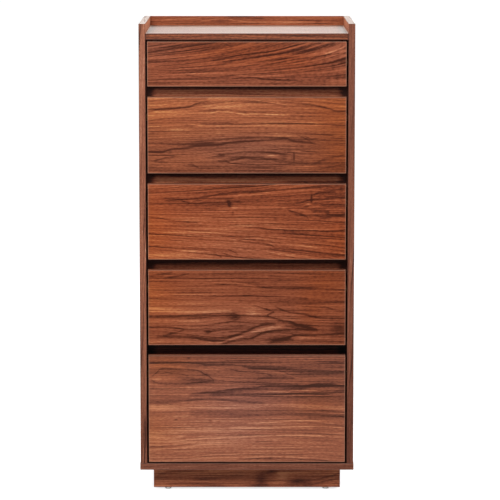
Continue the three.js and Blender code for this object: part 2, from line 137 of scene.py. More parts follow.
# -------------------------------------------------------------------- nodes and materials
class Wire:
    """A number that flows between the nodes of one tree."""

    def __init__(self, nodes: "Nodes", socket: Socket) -> None:
        """Takes the tree that the socket belongs to, and the socket."""
        self.nodes = nodes
        self.socket = socket

    def calculate(self, operation: str, *others: Number) -> "Wire":
        """The result of a Math node that takes this number and then the others."""
        return self.nodes.number("ShaderNodeMath", {"operation": operation}, self, *others)

    def __add__(self, other: Number) -> "Wire":
        """This number plus another."""
        return self.calculate("ADD", other)

    def __sub__(self, other: Number) -> "Wire":
        """This number less another."""
        return self.calculate("SUBTRACT", other)

    def __mul__(self, other: Number) -> "Wire":
        """This number times another."""
        return self.calculate("MULTIPLY", other)

    def scaled(self, factor: Number, offset: Number) -> "Wire":
        """This number times a factor, plus an offset."""
        return self.calculate("MULTIPLY_ADD", factor, offset)

    def magnitude(self) -> "Wire":
        """This number without its sign."""
        return self.calculate("ABSOLUTE")

    def above(self, limit: Number) -> "Wire":
        """1 where this number is greater than the limit, and 0 elsewhere."""
        return self.calculate("GREATER_THAN", limit)

    def below(self, limit: Number) -> "Wire":
        """1 where this number is less than the limit, and 0 elsewhere."""
        return self.calculate("LESS_THAN", limit)

    def rise(self, start: float, end: float) -> "Wire":
        """A smooth step from 0, where this number is at the start, to 1 at the end."""
        return self.nodes.number("ShaderNodeMapRange", {"interpolation_type": "SMOOTHSTEP"},
                                 Value=self, From_Min=start, From_Max=end)


class Nodes:
    """A node tree under construction."""

    def __init__(self, tree: bpy.types.NodeTree) -> None:
        """Takes the tree, and empties it."""
        self.tree = tree
        tree.nodes.clear()

    def plug(self, port: Socket, value: object) -> None:
        """Puts a value into a port.

        Args:
            port: The port.
            value: A wire or a socket to link, or a value to set. A colour is made opaque.
        """
        if isinstance(value, Wire):
            value = value.socket
        if isinstance(value, Socket):
            self.tree.links.new(value, port)
        elif port.type == "RGBA":
            port.default_value = (*value, 1)
        else:
            port.default_value = value

    def fill(self, node: bpy.types.Node, inputs: dict[str, object]) -> None:
        """Puts values into the live ports of a node.

        Args:
            node: The node.
            inputs: The values by the names of their ports, with _ for a space.
        """
        for name, value in inputs.items():
            label = name.replace("_", " ")
            self.plug(next(port for port in node.inputs if port.enabled and port.name == label),
                      value)

    def add(self, kind: str, settings: Optional[dict[str, object]] = None, *values: object,
            **inputs: object) -> bpy.types.Node:
        """Adds a node.

        Args:
            kind: Its type.
            settings: Its own properties.
            values: What goes into its first live ports.
            inputs: What goes into ports by name, with _ for a space.

        Returns:
            The node.
        """
        node = self.tree.nodes.new(kind)
        for name, value in (settings or {}).items():
            setattr(node, name, value)
        for port, value in zip([port for port in node.inputs if port.enabled], values):
            self.plug(port, value)
        self.fill(node, inputs)
        return node

    def out(self, kind: str, settings: Optional[dict[str, object]] = None, *values: object,
            **inputs: object) -> Socket:
        """The first live output of a node that is added as add does."""
        node = self.add(kind, settings, *values, **inputs)
        return next(port for port in node.outputs if port.enabled)

    def number(self, kind: str, settings: Optional[dict[str, object]] = None, *values: object,
               **inputs: object) -> Wire:
        """The same output, as a number."""
        return Wire(self, self.out(kind, settings, *values, **inputs))

    def vector(self, x: Number, y: Number, z: Number = 0.0) -> Socket:
        """A vector of three numbers."""
        return self.out("ShaderNodeCombineXYZ", {}, x, y, z)

    def split(self, vector: Socket) -> tuple[Wire, Wire, Wire]:
        """The three numbers of a vector."""
        node = self.add("ShaderNodeSeparateXYZ", {}, vector)
        return tuple(Wire(self, port) for port in node.outputs)


class Recipe(Nodes):
    """A material under construction, with one Principled shader."""

    def __init__(self, name: str) -> None:
        """Starts an empty material.

        Args:
            name: The material's name.
        """
        self.material = bpy.data.materials.new(name)
        self.material.use_nodes = True
        super().__init__(self.material.node_tree)
        self.shader = self.add("ShaderNodeBsdfPrincipled")
        self.add("ShaderNodeOutputMaterial", Surface=self.shader.outputs[0])

    def set(self, **inputs: object) -> None:
        """Puts values into the shader's ports, named with _ for a space."""
        self.fill(self.shader, inputs)

    def place(self) -> tuple[Wire, Wire, Wire]:
        """Where a point of the piece is, with the chest shut."""
        return self.split(self.add("ShaderNodeTexCoord").outputs["Object"])

    def facing(self) -> tuple[Wire, Wire, Wire]:
        """The way that the surface faces."""
        return self.split(self.add("ShaderNodeNewGeometry").outputs["True Normal"])

    def noise(self, vector: Socket, cells: Sequence[float], offset: Sequence[float] = (),
              detail: float = 2.0, roughness: float = 0.5, solid: bool = False) -> Wire:
        """Fractal noise from 0 to 1.

        Args:
            vector: Where the noise is read.
            cells: Noise cells a metre along each axis.
            offset: Noise cells that the pattern is moved by along each axis.
            detail: Number of finer layers.
            roughness: Strength of each finer layer.
            solid: Whether the vector's third number counts too.

        Returns:
            The noise.
        """
        where = self.out("ShaderNodeVectorMath", {"operation": "MULTIPLY_ADD"}, vector,
                         (*cells, 1)[:3], (*offset, 0, 0, 0)[:3])
        return self.number("ShaderNodeTexNoise", {"noise_dimensions": "3D" if solid else "2D"},
                           Vector=where, Scale=1, Detail=detail, Roughness=roughness)

    def curve(self, value: Wire, places: Sequence[tuple[float, float]]) -> Wire:
        """A smooth curve from left to right.

        Args:
            value: How far along the curve, from 0 to 1.
            places: Where the curve passes, each as how far along and how high.

        Returns:
            The curve's height.
        """
        node = self.add("ShaderNodeFloatCurve", Value=value)
        node.mapping.use_clip = False
        node.mapping.extend = "HORIZONTAL"
        points = node.mapping.curves[0].points
        points[0].location = places[0]
        points[-1].location = places[-1]
        for place in places[1:-1]:
            points.new(*place)
        for point in points:
            point.handle_type = "AUTO_CLAMPED"
        node.mapping.update()
        return Wire(self, node.outputs[0])

    def ramp(self, tone: Wire, palette: Palette, cast: float = 0.0) -> Socket:
        """The colour of a palette at a tone from 0 to 1.

        Args:
            tone: The tone.
            palette: The colours.
            cast: From -1, where they lean to orange, to 1, where they lean to a cool brown.

        Returns:
            The colour.
        """
        node = self.add("ShaderNodeValToRGB", {}, tone)
        elements = node.color_ramp.elements
        stops = palette.stops(cast)
        for _ in stops[2:]:
            elements.new(0.5)
        for element, (position, colour) in zip(elements, stops):
            element.position = position
            element.color = (*colour, 1)
        return node.outputs[0]

    def mixed(self, share: Number, first: object, second: object) -> Socket:
        """Two colours mixed: the first at a share of 0 and the second at 1."""
        return self.out("ShaderNodeMix", {"data_type": "RGBA"}, share, first, second)

    def bump(self, height: Wire, depth: float) -> None:
        """Presses a height from 0 to 1 into the surface, that many metres deep."""
        self.set(Normal=self.out("ShaderNodeBump", Strength=1, Distance=depth, Height=height))


# ------------------------------------------------------------------- figure of the veneer
@dataclass(frozen=True)
class Layer:
    """One layer of a wood's pattern: its cells a metre, and how strongly it shows."""

    along: float
    across: float
    strength: float
    detail: float = 2.0
    roughness: float = 0.55


@dataclass(frozen=True)
class Grain:
    """The layers of a wood's pattern, and its pores.

    The first three follow the growth lines, and the others run straight along the fibres.
    """

    bands: Layer
    lines: Layer
    dark_lines: Layer
    fibres: Layer
    hairs: Layer
    pores: Layer
    dark_line_width: float = 0.022
    pore_edge: tuple[float, float] = (0.60, 0.74)
    pore_depth: float = 0.06 * MM
    hair_relief: float = 0.3
    pore_relief: float = -0.7


WALNUT = Grain(
    bands=Layer(1.0, 30.0, 0.30),
    lines=Layer(1.6, 260.0, 0.55, 2.0, 0.6),
    dark_lines=Layer(0.6, 90.0, 0.40),
    fibres=Layer(5.0, 480.0, 1.10, 2.0, 0.7),
    hairs=Layer(90.0, 430.0, 0.48, 1.0),
    pores=Layer(90.0, 2300.0, 0.12, 0.0),
)
CASE_WALNUT = Grain(
    bands=Layer(1.0, 30.0, 0.35),
    lines=Layer(2.4, 230.0, 0.50, 3.0, 0.7),
    dark_lines=Layer(0.6, 64.0, 0.30),
    fibres=Layer(9.0, 420.0, 0.75, 2.0, 0.7),
    hairs=Layer(130.0, 430.0, 0.40, 1.0),
    pores=Layer(90.0, 2300.0, 0.10, 0.0),
)
SIDE_WALNUT = replace(
    CASE_WALNUT,
    bands=Layer(1.0, 20.0, 0.60),
    lines=Layer(2.0, 150.0, 0.55, 3.0, 0.7),
    dark_lines=Layer(0.6, 46.0, 0.45),
    fibres=Layer(9.0, 420.0, 0.70, 2.0, 0.7),
)
BIRCH = Grain(
    bands=Layer(1.0, 24.0, 0.35),
    lines=Layer(3.0, 160.0, 0.30),
    dark_lines=Layer(1.0, 50.0, 0.05),
    fibres=Layer(8.0, 300.0, 0.25),
    hairs=Layer(60.0, 1200.0, 0.20, 1.0),
    pores=Layer(160.0, 2600.0, 0.05, 0.0),
    pore_depth=0.03 * MM,
)
BEECH = Grain(
    bands=Layer(1.0, 30.0, 0.25),
    lines=Layer(3.0, 180.0, 0.20),
    dark_lines=Layer(1.0, 60.0, 0.03),
    fibres=Layer(12.0, 400.0, 0.20),
    hairs=Layer(80.0, 1300.0, 0.15, 1.0),
    pores=Layer(420.0, 1700.0, 0.40, 0.0),
    pore_edge=(0.64, 0.78),
    pore_depth=0.02 * MM,
)
PINE = Grain(
    bands=Layer(1.0, 140.0, 0.60),
    lines=Layer(3.0, 320.0, 0.35),
    dark_lines=Layer(1.0, 110.0, 0.35),
    fibres=Layer(10.0, 500.0, 0.20),
    hairs=Layer(90.0, 1600.0, 0.20, 1.0),
    pores=Layer(160.0, 2600.0, 0.04, 0.0),
    pore_depth=0.08 * MM,
)


class Sheet:
    """A sheet of veneer: shares of its width from the left, and of its height from the top."""

    def __init__(self, recipe: Recipe, across: Wire, down: Wire) -> None:
        """Keeps the material and the two shares, and joins them to one place.

        Args:
            recipe: The material.
            across: How far from the left a point of the surface is.
            down: How far from the top it is.
        """
        self.recipe = recipe
        self.across = across
        self.down = down
        self.flat = recipe.vector(across, down)

    def hill(self, mark: Union["Knot", "Spot"]) -> tuple[Wire, Socket]:
        """A round hill on the sheet, 1 at a mark's middle and 1/e at its half sizes.

        Args:
            mark: The knot or the spot, turned by its turn in degrees.

        Returns:
            The hill's height, and the place in half sizes from the middle.
        """
        local = self.recipe.out("ShaderNodeMapping", {"vector_type": "TEXTURE"}, self.flat,
                                (mark.across, mark.down, 0),
                                (0, 0, math.radians(mark.turn)),
                                (mark.half_width, mark.half_height, 1))
        square = self.recipe.out("ShaderNodeVectorMath", {"operation": "DOT_PRODUCT"}, local,
                                 local)
        height = self.recipe.number("ShaderNodeMath", {"operation": "POWER"}, math.exp(-1),
                                    square)
        return height, local


@dataclass(frozen=True)
class Knot:
    """A place that lifts or parts the lines of the veneer. Its sizes are shares of the sheet."""

    across: float
    down: float
    half_width: float
    half_height: float
    lift: float = 0.0
    part: float = 0.0
    turn: float = 0.0

    def add_to(self, sheet: Sheet, level: Wire) -> Wire:
        """Adds the knot to the level of the lines.

        Args:
            sheet: The sheet.
            level: The level so far.

        Returns:
            The new level.
        """
        hill, local = sheet.hill(self)
        if not self.part:
            return hill.scaled(self.lift, level)
        _, fall, _ = sheet.recipe.split(local)
        return hill.scaled(fall.scaled(-self.part, self.lift), level)


@dataclass(frozen=True)
class Spot:
    """A soft spot on the sheet, lighter or darker than the wood round it."""

    tone: float
    across: float
    down: float
    half_width: float
    half_height: float
    turn: float = 0.0

    def add_to(self, sheet: Sheet, tone: Wire) -> Wire:
        """Adds the spot to the tones of the sheet.

        Args:
            sheet: The sheet.
            tone: The tone so far.

        Returns:
            The new tone.
        """
        hill, _ = sheet.hill(self)
        return hill.scaled(self.tone, tone)


@dataclass(frozen=True)
class Line:
    """A growth line drawn from left to right through places on the sheet.

    The places and the width are shares of the sheet: across from the left, down from the top. A
    tone above 0 is lighter than the wood round it, and a tone below 0 is darker. A lean of 1
    puts all of the softness below the line, and -1 above it. The line fades out at its ends,
    over at most the longest fade, a share of its length, but not at the sheet's edge.
    """

    tone: float
    width: float
    places: tuple[tuple[float, float], ...]
    lean: float = 0.3
    fade: float = 0.06
    longest_fade: float = 0.4
    at_edge: float = 0.01

    def add_to(self, sheet: Sheet, tone: Wire) -> Wire:
        """Adds the line to the tones of the sheet.

        Args:
            sheet: The sheet.
            tone: The tone so far.

        Returns:
            The new tone.
        """
        start, end = self.places[0][0], self.places[-1][0]
        fade = min(self.fade, self.longest_fade * (end - start))
        away = sheet.down - sheet.recipe.curve(sheet.across, self.places)
        above = away.rise(self.width * (self.lean - 1), 0.0)
        below = away.rise(self.width * (self.lean + 1), 0.0)
        whole = ((start, float(start < self.at_edge)), (start + fade, 1.0), (end - fade, 1.0),
                 (end, float(end > 1 - self.at_edge)))
        shown = above * below * sheet.recipe.curve(sheet.across, whole)
        return shown.scaled(self.tone, tone)


@dataclass(frozen=True)
class Figure:
    """The figure of one sheet of veneer, as wide as a drawer front.

    The fine lines are the places of one level. The level is the share of the way down the
    sheet, plus a tilt along the sheet that changes on the way down, plus what the knots add.
    The marks are the lines and spots that stand out, and boldness is how much. The hue and sheen
    spots lean the colours to a cool brown, or below 0 to orange: partly the wood's own hue,
    partly a painted reflection of the lamps. The painted light slope is painted light: how much
    lighter the sheet gets from left to right and from top to foot. The wave is how far the lines
    ripple, texture the strength of the straight fibres and flow that of the fine lines.
    """

    palette: Palette
    tilt: tuple[float, float, float] = (0.0, 0.0, 0.0)
    knots: tuple[Knot, ...] = ()
    marks: tuple[Union[Line, Spot], ...] = ()
    hue_and_sheen_casts: tuple[Spot, ...] = ()
    seed: float = 0.0
    tone: float = 0.5
    painted_light_slope: tuple[float, float] = (0.0, 0.0)
    wave: float = 0.022
    texture: float = 1.0
    flow: float = 1.0
    boldness: float = 1.0

    def grain(self) -> Grain:
        """Tunes walnut to this sheet.

        Returns:
            The wood's pattern, with the sheet's strength of fine lines and straight fibres.
        """
        shares = {"lines": self.flow, "fibres": self.texture, "hairs": self.texture}
        layers = {name: getattr(WALNUT, name) for name in shares}
        return replace(WALNUT, **{name: replace(layer, strength=layer.strength * shares[name])
                                  for name, layer in layers.items()})

    def levels(self, sheet: Sheet, rippled: Sheet) -> tuple[Wire, Wire]:
        """The level of the lines.

        Args:
            sheet: The sheet.
            rippled: The same, with the ripple of the growth lines.

        Returns:
            The level of the straight fibres, and that of the growth lines.
        """
        first, second, third = self.tilt
        slope = sheet.down.scaled(sheet.down.scaled(third, second), first)
        clear = sheet.across.scaled(slope, sheet.down)
        level = sheet.across.scaled(slope, rippled.down)
        for knot in self.knots:
            level = knot.add_to(rippled, level)
        return clear, level

    def colour(self, sheet: Sheet, tone: Wire) -> Socket:
        """The colour of the sheet, which leans to orange or to a cool brown in places, partly by the
        wood's own hue and partly as a painted reflection of the lamps.

        Args:
            sheet: The sheet.
            tone: The tone, from 0 to 1.

        Returns:
            The colour.
        """
        if not self.hue_and_sheen_casts:
            return sheet.recipe.ramp(tone, self.palette)
        cast = sheet.across.scaled(0.0, EVEN_CAST)
        for spot in self.hue_and_sheen_casts:
            cast = spot.add_to(sheet, cast)
        warm, cool = (sheet.recipe.ramp(tone, self.palette, lean) for lean in (-1.0, 1.0))
        return sheet.recipe.mixed(cast, warm, cool)

    def marked(self, sheet: Sheet, tone: Wire, strength: Wire) -> Wire:
        """Lays the painted light slope and the marks over the wood's own pattern.

        Args:
            sheet: The sheet.
            tone: What the pattern adds to the tone.
            strength: How strongly the marks show, about 1.

        Returns:
            The tone, from 0 to 1.
        """
        # The slope is painted light, a fall of light across and down the sheet.
        to_right, to_foot = self.painted_light_slope
        tone = (sheet.down - 0.5).scaled(to_foot, tone + self.tone)
        tone = (sheet.across - 0.5).scaled(to_right, tone)
        marks = sheet.across * 0.0
        for mark in self.marks:
            marks = mark.add_to(sheet, marks)
        return (marks * self.boldness).scaled(strength, tone)


def wood_layers(recipe: Recipe, along: Wire, level: Wire, aside: Wire, seed: float,
                grain: Grain) -> tuple[Wire, Wire]:
    """The layers of a wood: growth lines that wander, straight fibres, and pores.

    Args:
        recipe: The material.
        along: Metres along the grain.
        level: Metres across the growth lines.
        aside: Metres across the fibres.
        seed: Moves the pattern to another place of the noise.
        grain: The wood.

    Returns:
        What they add to the tone, and the texture for gloss and relief.
    """
    rings = recipe.vector(along, level)
    straight = recipe.vector(along, aside)

    def layer(place: Socket, of: Layer) -> Wire:
        """One layer's noise."""
        return recipe.noise(place, (of.along, of.across), (seed, LAYER_SHIFT * seed), of.detail,
                            of.roughness)

    bands = layer(rings, grain.bands)
    tone = (bands - 0.5) * grain.bands.strength
    tone = (layer(rings, grain.lines) - 0.5).scaled(grain.lines.strength, tone)
    crease = (layer(rings, grain.dark_lines) - 0.5).magnitude().rise(grain.dark_line_width, 0.0)
    # The bands are 0.5 on average, so twice the strength makes it the average of the lines.
    tone = crease.scaled(bands * (-2 * grain.dark_lines.strength), tone)
    tone = (layer(straight, grain.fibres) - 0.5).scaled(grain.fibres.strength, tone)
    hairs = layer(straight, grain.hairs)
    tone = (hairs - 0.5).scaled(grain.hairs.strength, tone)
    pores = layer(straight, grain.pores).rise(*grain.pore_edge)
    tone = pores.scaled(-grain.pores.strength, tone)
    return tone, hairs.scaled(grain.hair_relief, pores * grain.pore_relief)


@dataclass(frozen=True)
class Lacquer:
    """A thin satin coat, which fills most of the grain."""

    roughness: float = 0.50
    specular: float = 0.12
    texture: float = 0.12
    sheen: float = 0.0
    sheen_roughness: float = 0.3
    sheen_tint: Colour = (1.0, 0.88, 0.655)

    def coat(self, recipe: Recipe, colour: Socket, relief: Wire, depth: float) -> None:
        """Colours the shader and finishes its surface.

        Args:
            recipe: The material.
            colour: The wood's colour.
            relief: Height of the surface.
            depth: Metres that the relief is deep.
        """
        recipe.set(Base_Color=colour, Roughness=relief.scaled(-self.texture, self.roughness),
                   Specular_IOR_Level=self.specular, Sheen_Weight=self.sheen,
                   Sheen_Roughness=self.sheen_roughness, Sheen_Tint=self.sheen_tint)
        recipe.bump(relief, depth)


SATIN = Lacquer()
TOP_SATIN = Lacquer(roughness=0.42, specular=0.21, texture=0.04, sheen=0.17,
                    sheen_roughness=0.25)
RAW = Lacquer(roughness=0.72, specular=0.25, texture=0.2)
WAXED = Lacquer(roughness=0.40, specular=0.4)


@dataclass(frozen=True)
class Arris:
    """A line painted along the edges of a board, and a dark rim outside it: a pale line is a
    painted highlight on the rounded edge, a dark line is painted shade in the seam beside it, and
    the rim is painted shade where the edge rounds away from the light.

    The shares are how strongly the line and the rim cover the board's colour. The line is whole
    out to a share of its width, the full width. The rim starts to show at the first of its fade
    shares of its own width from the edge, and is whole at the second.
    """

    width: float = 1.7 * MM
    colour: Colour = srgb(176, 118, 88)
    share: float = 0.6
    top_highlight: Optional[Colour] = None
    rim: float = 0.0
    rim_shade: Colour = srgb(28, 15, 11)
    rim_share: float = 0.85
    full_width: float = 0.2
    rim_fade: tuple[float, float] = (1.5, 0.5)

    def ease(self, recipe: Recipe, colour: Socket, node: str, where: Number = 1.0) -> Socket:
        """Mixes the painted line and the rim's painted shade over a board's colour.

        Args:
            recipe: The material.
            colour: The board's colour.
            node: The board.
            where: 1 where they show, and 0 on faces without them.

        Returns:
            The colour with the line and the rim on it.
        """
        low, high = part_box(node)
        middle, half = (low + high) / 2, (high - low) / 2
        inside = [(place - middle[axis]).magnitude().scaled(-1.0, half[axis])
                  for axis, place in enumerate(recipe.place())]
        nearer = inside[0].calculate("MINIMUM", inside[1])
        further = inside[0].calculate("MAXIMUM", inside[1])
        nearest_edge = further.calculate("MINIMUM", inside[2]).calculate("MAXIMUM", nearer)
        line = nearest_edge.rise(self.width, self.full_width * self.width) * self.share * where
        line_colour = self.colour
        # A painted highlight on the faces that look up.
        if self.top_highlight:
            upward = recipe.facing()[2].above(FACING)
            line_colour = recipe.mixed(upward, line_colour, self.top_highlight)
        colour = recipe.mixed(line, colour, line_colour)
        # The rim is painted shade.
        if self.rim:
            rim = nearest_edge.rise(*(share * self.rim for share in self.rim_fade)) * where
            colour = recipe.mixed(rim * self.rim_share, colour, self.rim_shade)
        return colour


NO_LINE = Arris(share=0.0)


# The top drawer: lines that fan out and rise to the right, straight below.
TOP_FIGURE = Figure(
    Palette.WARM, tilt=(0.66, -0.72, 0.0), seed=3.0, tone=0.45, painted_light_slope=(0.0, 0.06), texture=0.95, flow=1.5,
    boldness=0.95,
    marks=(
        Spot(-0.10, 0.30, 0.10, 0.14, 0.10),
        Spot(-0.08, 0.08, 0.15, 0.12, 0.14),
        Spot(0.14, 0.93, 0.17, 0.09, 0.09),
        Line(-0.26, 0.03, ((0.00, 0.25), (0.10, 0.16), (0.20, 0.09), (0.30, 0.03))),
        Line(-0.24, 0.03, ((0.05, 0.30), (0.20, 0.20), (0.35, 0.10), (0.45, 0.02))),
        Line(0.38, 0.035, ((0.00, 0.385), (0.11, 0.34), (0.23, 0.294), (0.34, 0.218), (0.46, 0.11),
            (0.55, 0.04))),
        Line(-0.22, 0.03, ((0.00, 0.45), (0.15, 0.41), (0.30, 0.34), (0.42, 0.24), (0.55, 0.13),
            (0.68, 0.04))),
        Line(0.34, 0.03, ((0.00, 0.536), (0.12, 0.506), (0.24, 0.455), (0.34, 0.40))),
        Line(-0.45, 0.03, ((0.03, 0.545), (0.22, 0.47), (0.31, 0.415), (0.39, 0.37), (0.46, 0.31),
            (0.56, 0.255), (0.66, 0.19), (0.73, 0.10), (0.80, 0.04))),
        Line(-0.32, 0.06, ((0.36, 0.48), (0.46, 0.385), (0.56, 0.325), (0.66, 0.28), (0.73, 0.233),
            (0.80, 0.19), (0.87, 0.11), (0.95, 0.04))),
        Spot(-0.20, 0.79, 0.18, 0.06, 0.05),
        Line(0.28, 0.05, ((0.36, 0.53), (0.49, 0.476), (0.60, 0.38), (0.70, 0.31), (0.80, 0.30),
            (0.87, 0.26), (1.00, 0.20))),
        Line(-0.30, 0.025, ((0.55, 0.56), (0.70, 0.43), (0.80, 0.36), (0.90, 0.29), (1.00, 0.25))),
        Line(-0.16, 0.025, ((0.00, 0.62), (0.20, 0.63), (0.45, 0.66))),
        Line(0.16, 0.03, ((0.00, 0.69), (0.18, 0.72), (0.42, 0.71), (0.52, 0.78), (0.64, 0.81),
            (0.77, 0.85), (1.00, 0.86))),
        Line(-0.25, 0.025, ((0.17, 0.72), (0.27, 0.78), (0.42, 0.80))),
        Line(-0.38, 0.03, ((0.42, 0.83), (0.52, 0.79), (0.58, 0.82), (0.66, 0.84), (0.76, 0.85))),
        Line(-0.20, 0.03, ((0.50, 0.93), (0.65, 0.92), (0.90, 0.97))),
    ),
    hue_and_sheen_casts=(
        Spot(0.24, 0.05, 0.10, 0.10, 0.35),
        Spot(-0.24, 0.45, 0.20, 0.25, 0.35),
        Spot(-0.18, 0.75, 0.45, 0.15, 0.25),
        Spot(0.20, 1.00, 0.15, 0.15, 0.50),
        Spot(0.14, 0.50, 0.95, 0.80, 0.24),
    ),
)
# The second drawer: flat arches, a dark band that swells, and an eye under it.
SECOND_FIGURE = Figure(
    Palette.GOLD, seed=11.0, tone=0.48, painted_light_slope=(-0.10, -0.26), texture=0.93, boldness=0.92,
    knots=(
        Knot(0.50, 0.00, 0.38, 0.24, lift=0.14),
        Knot(0.52, 0.64, 0.34, 0.16, lift=0.07),
        Knot(0.53, 0.78, 0.20, 0.09, lift=0.06),
    ),
    marks=(
        Spot(0.16, 0.46, 0.11, 0.15, 0.05),
        Spot(0.14, 0.07, 0.215, 0.09, 0.04),
        Line(-0.42, 0.022, ((0.00, 0.207), (0.05, 0.17), (0.10, 0.162), (0.165, 0.14), (0.20, 0.133),
            (0.25, 0.088), (0.32, 0.05))),
        Line(-0.28, 0.03, ((0.20, 0.06), (0.27, 0.035), (0.31, 0.01))),
        Line(-0.42, 0.022, ((0.66, 0.06), (0.79, 0.08), (0.855, 0.11), (0.918, 0.155), (0.95, 0.184),
            (1.00, 0.19))),
        Line(-0.20, 0.02, ((0.60, 0.00), (0.70, 0.03), (0.85, 0.06), (1.00, 0.10))),
        Line(0.34, 0.014, ((0.29, 0.22), (0.352, 0.19), (0.397, 0.188), (0.44, 0.20), (0.488, 0.217),
            (0.556, 0.21), (0.607, 0.214), (0.72, 0.23))),
        Line(-0.20, 0.02, ((0.30, 0.17), (0.40, 0.16), (0.50, 0.19), (0.62, 0.19))),
        Line(-0.20, 0.018, ((0.00, 0.318), (0.09, 0.288), (0.20, 0.276), (0.30, 0.25))),
        Line(-0.36, 0.016, ((0.256, 0.348), (0.40, 0.351), (0.556, 0.348), (0.67, 0.34), (0.78, 0.34),
            (1.00, 0.37))),
        Line(0.26, 0.014, ((0.45, 0.325), (0.60, 0.318), (0.78, 0.315), (0.90, 0.33))),
        Line(0.28, 0.014, ((0.20, 0.366), (0.30, 0.37), (0.50, 0.37), (0.79, 0.363), (0.95, 0.362))),
        Line(0.20, 0.018, ((0.00, 0.39), (0.10, 0.378), (0.20, 0.366))),
        Line(-0.28, 0.014, ((0.00, 0.41), (0.10, 0.39), (0.25, 0.385))),
        Line(0.20, 0.02, ((0.09, 0.425), (0.23, 0.42))),
        Line(-0.36, 0.022, ((0.00, 0.61), (0.12, 0.615), (0.24, 0.617), (0.35, 0.59))),
        Line(-0.34, 0.018, ((0.22, 0.595), (0.31, 0.572), (0.366, 0.563), (0.46, 0.537), (0.55, 0.53))),
        Line(-0.46, 0.024, ((0.00, 0.71), (0.054, 0.72), (0.12, 0.68), (0.19, 0.667), (0.27, 0.64),
            (0.353, 0.624), (0.42, 0.594), (0.495, 0.58), (0.58, 0.572), (0.665, 0.555), (0.69, 0.543),
            (0.72, 0.572), (0.766, 0.59), (0.85, 0.615)), lean=0.0),
        Spot(-0.24, 0.05, 0.71, 0.05, 0.02),
        Spot(-0.20, 0.28, 0.645, 0.08, 0.016),
        Spot(-0.30, 0.685, 0.555, 0.025, 0.018),
        Line(-0.34, 0.018, ((0.745, 0.485), (0.78, 0.527), (0.82, 0.58))),
        Line(-0.26, 0.014, ((0.76, 0.485), (0.79, 0.515), (0.84, 0.565))),
        Spot(0.18, 0.67, 0.49, 0.07, 0.03),
        Spot(-0.08, 0.54, 0.78, 0.17, 0.09),
        Spot(-0.40, 0.368, 0.757, 0.020, 0.018),
        Line(-0.30, 0.016, ((0.355, 0.745), (0.42, 0.735), (0.48, 0.715), (0.56, 0.708), (0.63, 0.712),
            (0.675, 0.735)), fade=0.02),
        Spot(-0.26, 0.685, 0.77, 0.018, 0.035),
        Line(-0.30, 0.014, ((0.40, 0.78), (0.47, 0.78), (0.56, 0.805), (0.66, 0.80))),
        Spot(0.34, 0.625, 0.765, 0.030, 0.016),
        Line(-0.40, 0.016, ((0.352, 0.83), (0.386, 0.83), (0.42, 0.855), (0.47, 0.872), (0.54, 0.875)),
            fade=0.02),
        Line(-0.22, 0.014, ((0.50, 0.875), (0.60, 0.875), (0.70, 0.865), (0.737, 0.84)), fade=0.02),
        Spot(-0.52, 0.737, 0.78, 0.004, 0.045),
        Line(-0.36, 0.012, ((0.70, 0.722), (0.72, 0.72), (0.74, 0.735)), fade=0.01),
        Spot(0.30, 0.757, 0.712, 0.025, 0.012),
        Line(-0.34, 0.02, ((0.03, 0.84), (0.08, 0.81), (0.135, 0.785))),
        Line(-0.28, 0.016, ((0.01, 0.83), (0.06, 0.85), (0.11, 0.855))),
        Line(-0.30, 0.02, ((0.20, 0.89), (0.24, 0.905), (0.26, 0.93))),
        Line(0.20, 0.018, ((0.03, 0.91), (0.16, 0.90), (0.20, 0.93))),
        Line(0.20, 0.02, ((0.68, 0.90), (0.85, 0.895))),
        Line(-0.20, 0.03, ((0.82, 0.87), (0.90, 0.80), (1.00, 0.75))),
        Line(-0.22, 0.02, ((0.85, 0.93), (1.00, 0.87))),
    ),
    hue_and_sheen_casts=(
        Spot(0.28, 0.50, 0.68, 0.28, 0.20),
        Spot(0.12, 0.55, 0.95, 0.20, 0.15),
        Spot(-0.30, 1.00, 0.75, 0.17, 0.60),
        Spot(-0.18, 0.95, 0.10, 0.20, 0.30),
        Spot(-0.12, 0.00, 0.20, 0.20, 0.30),
    ),
)
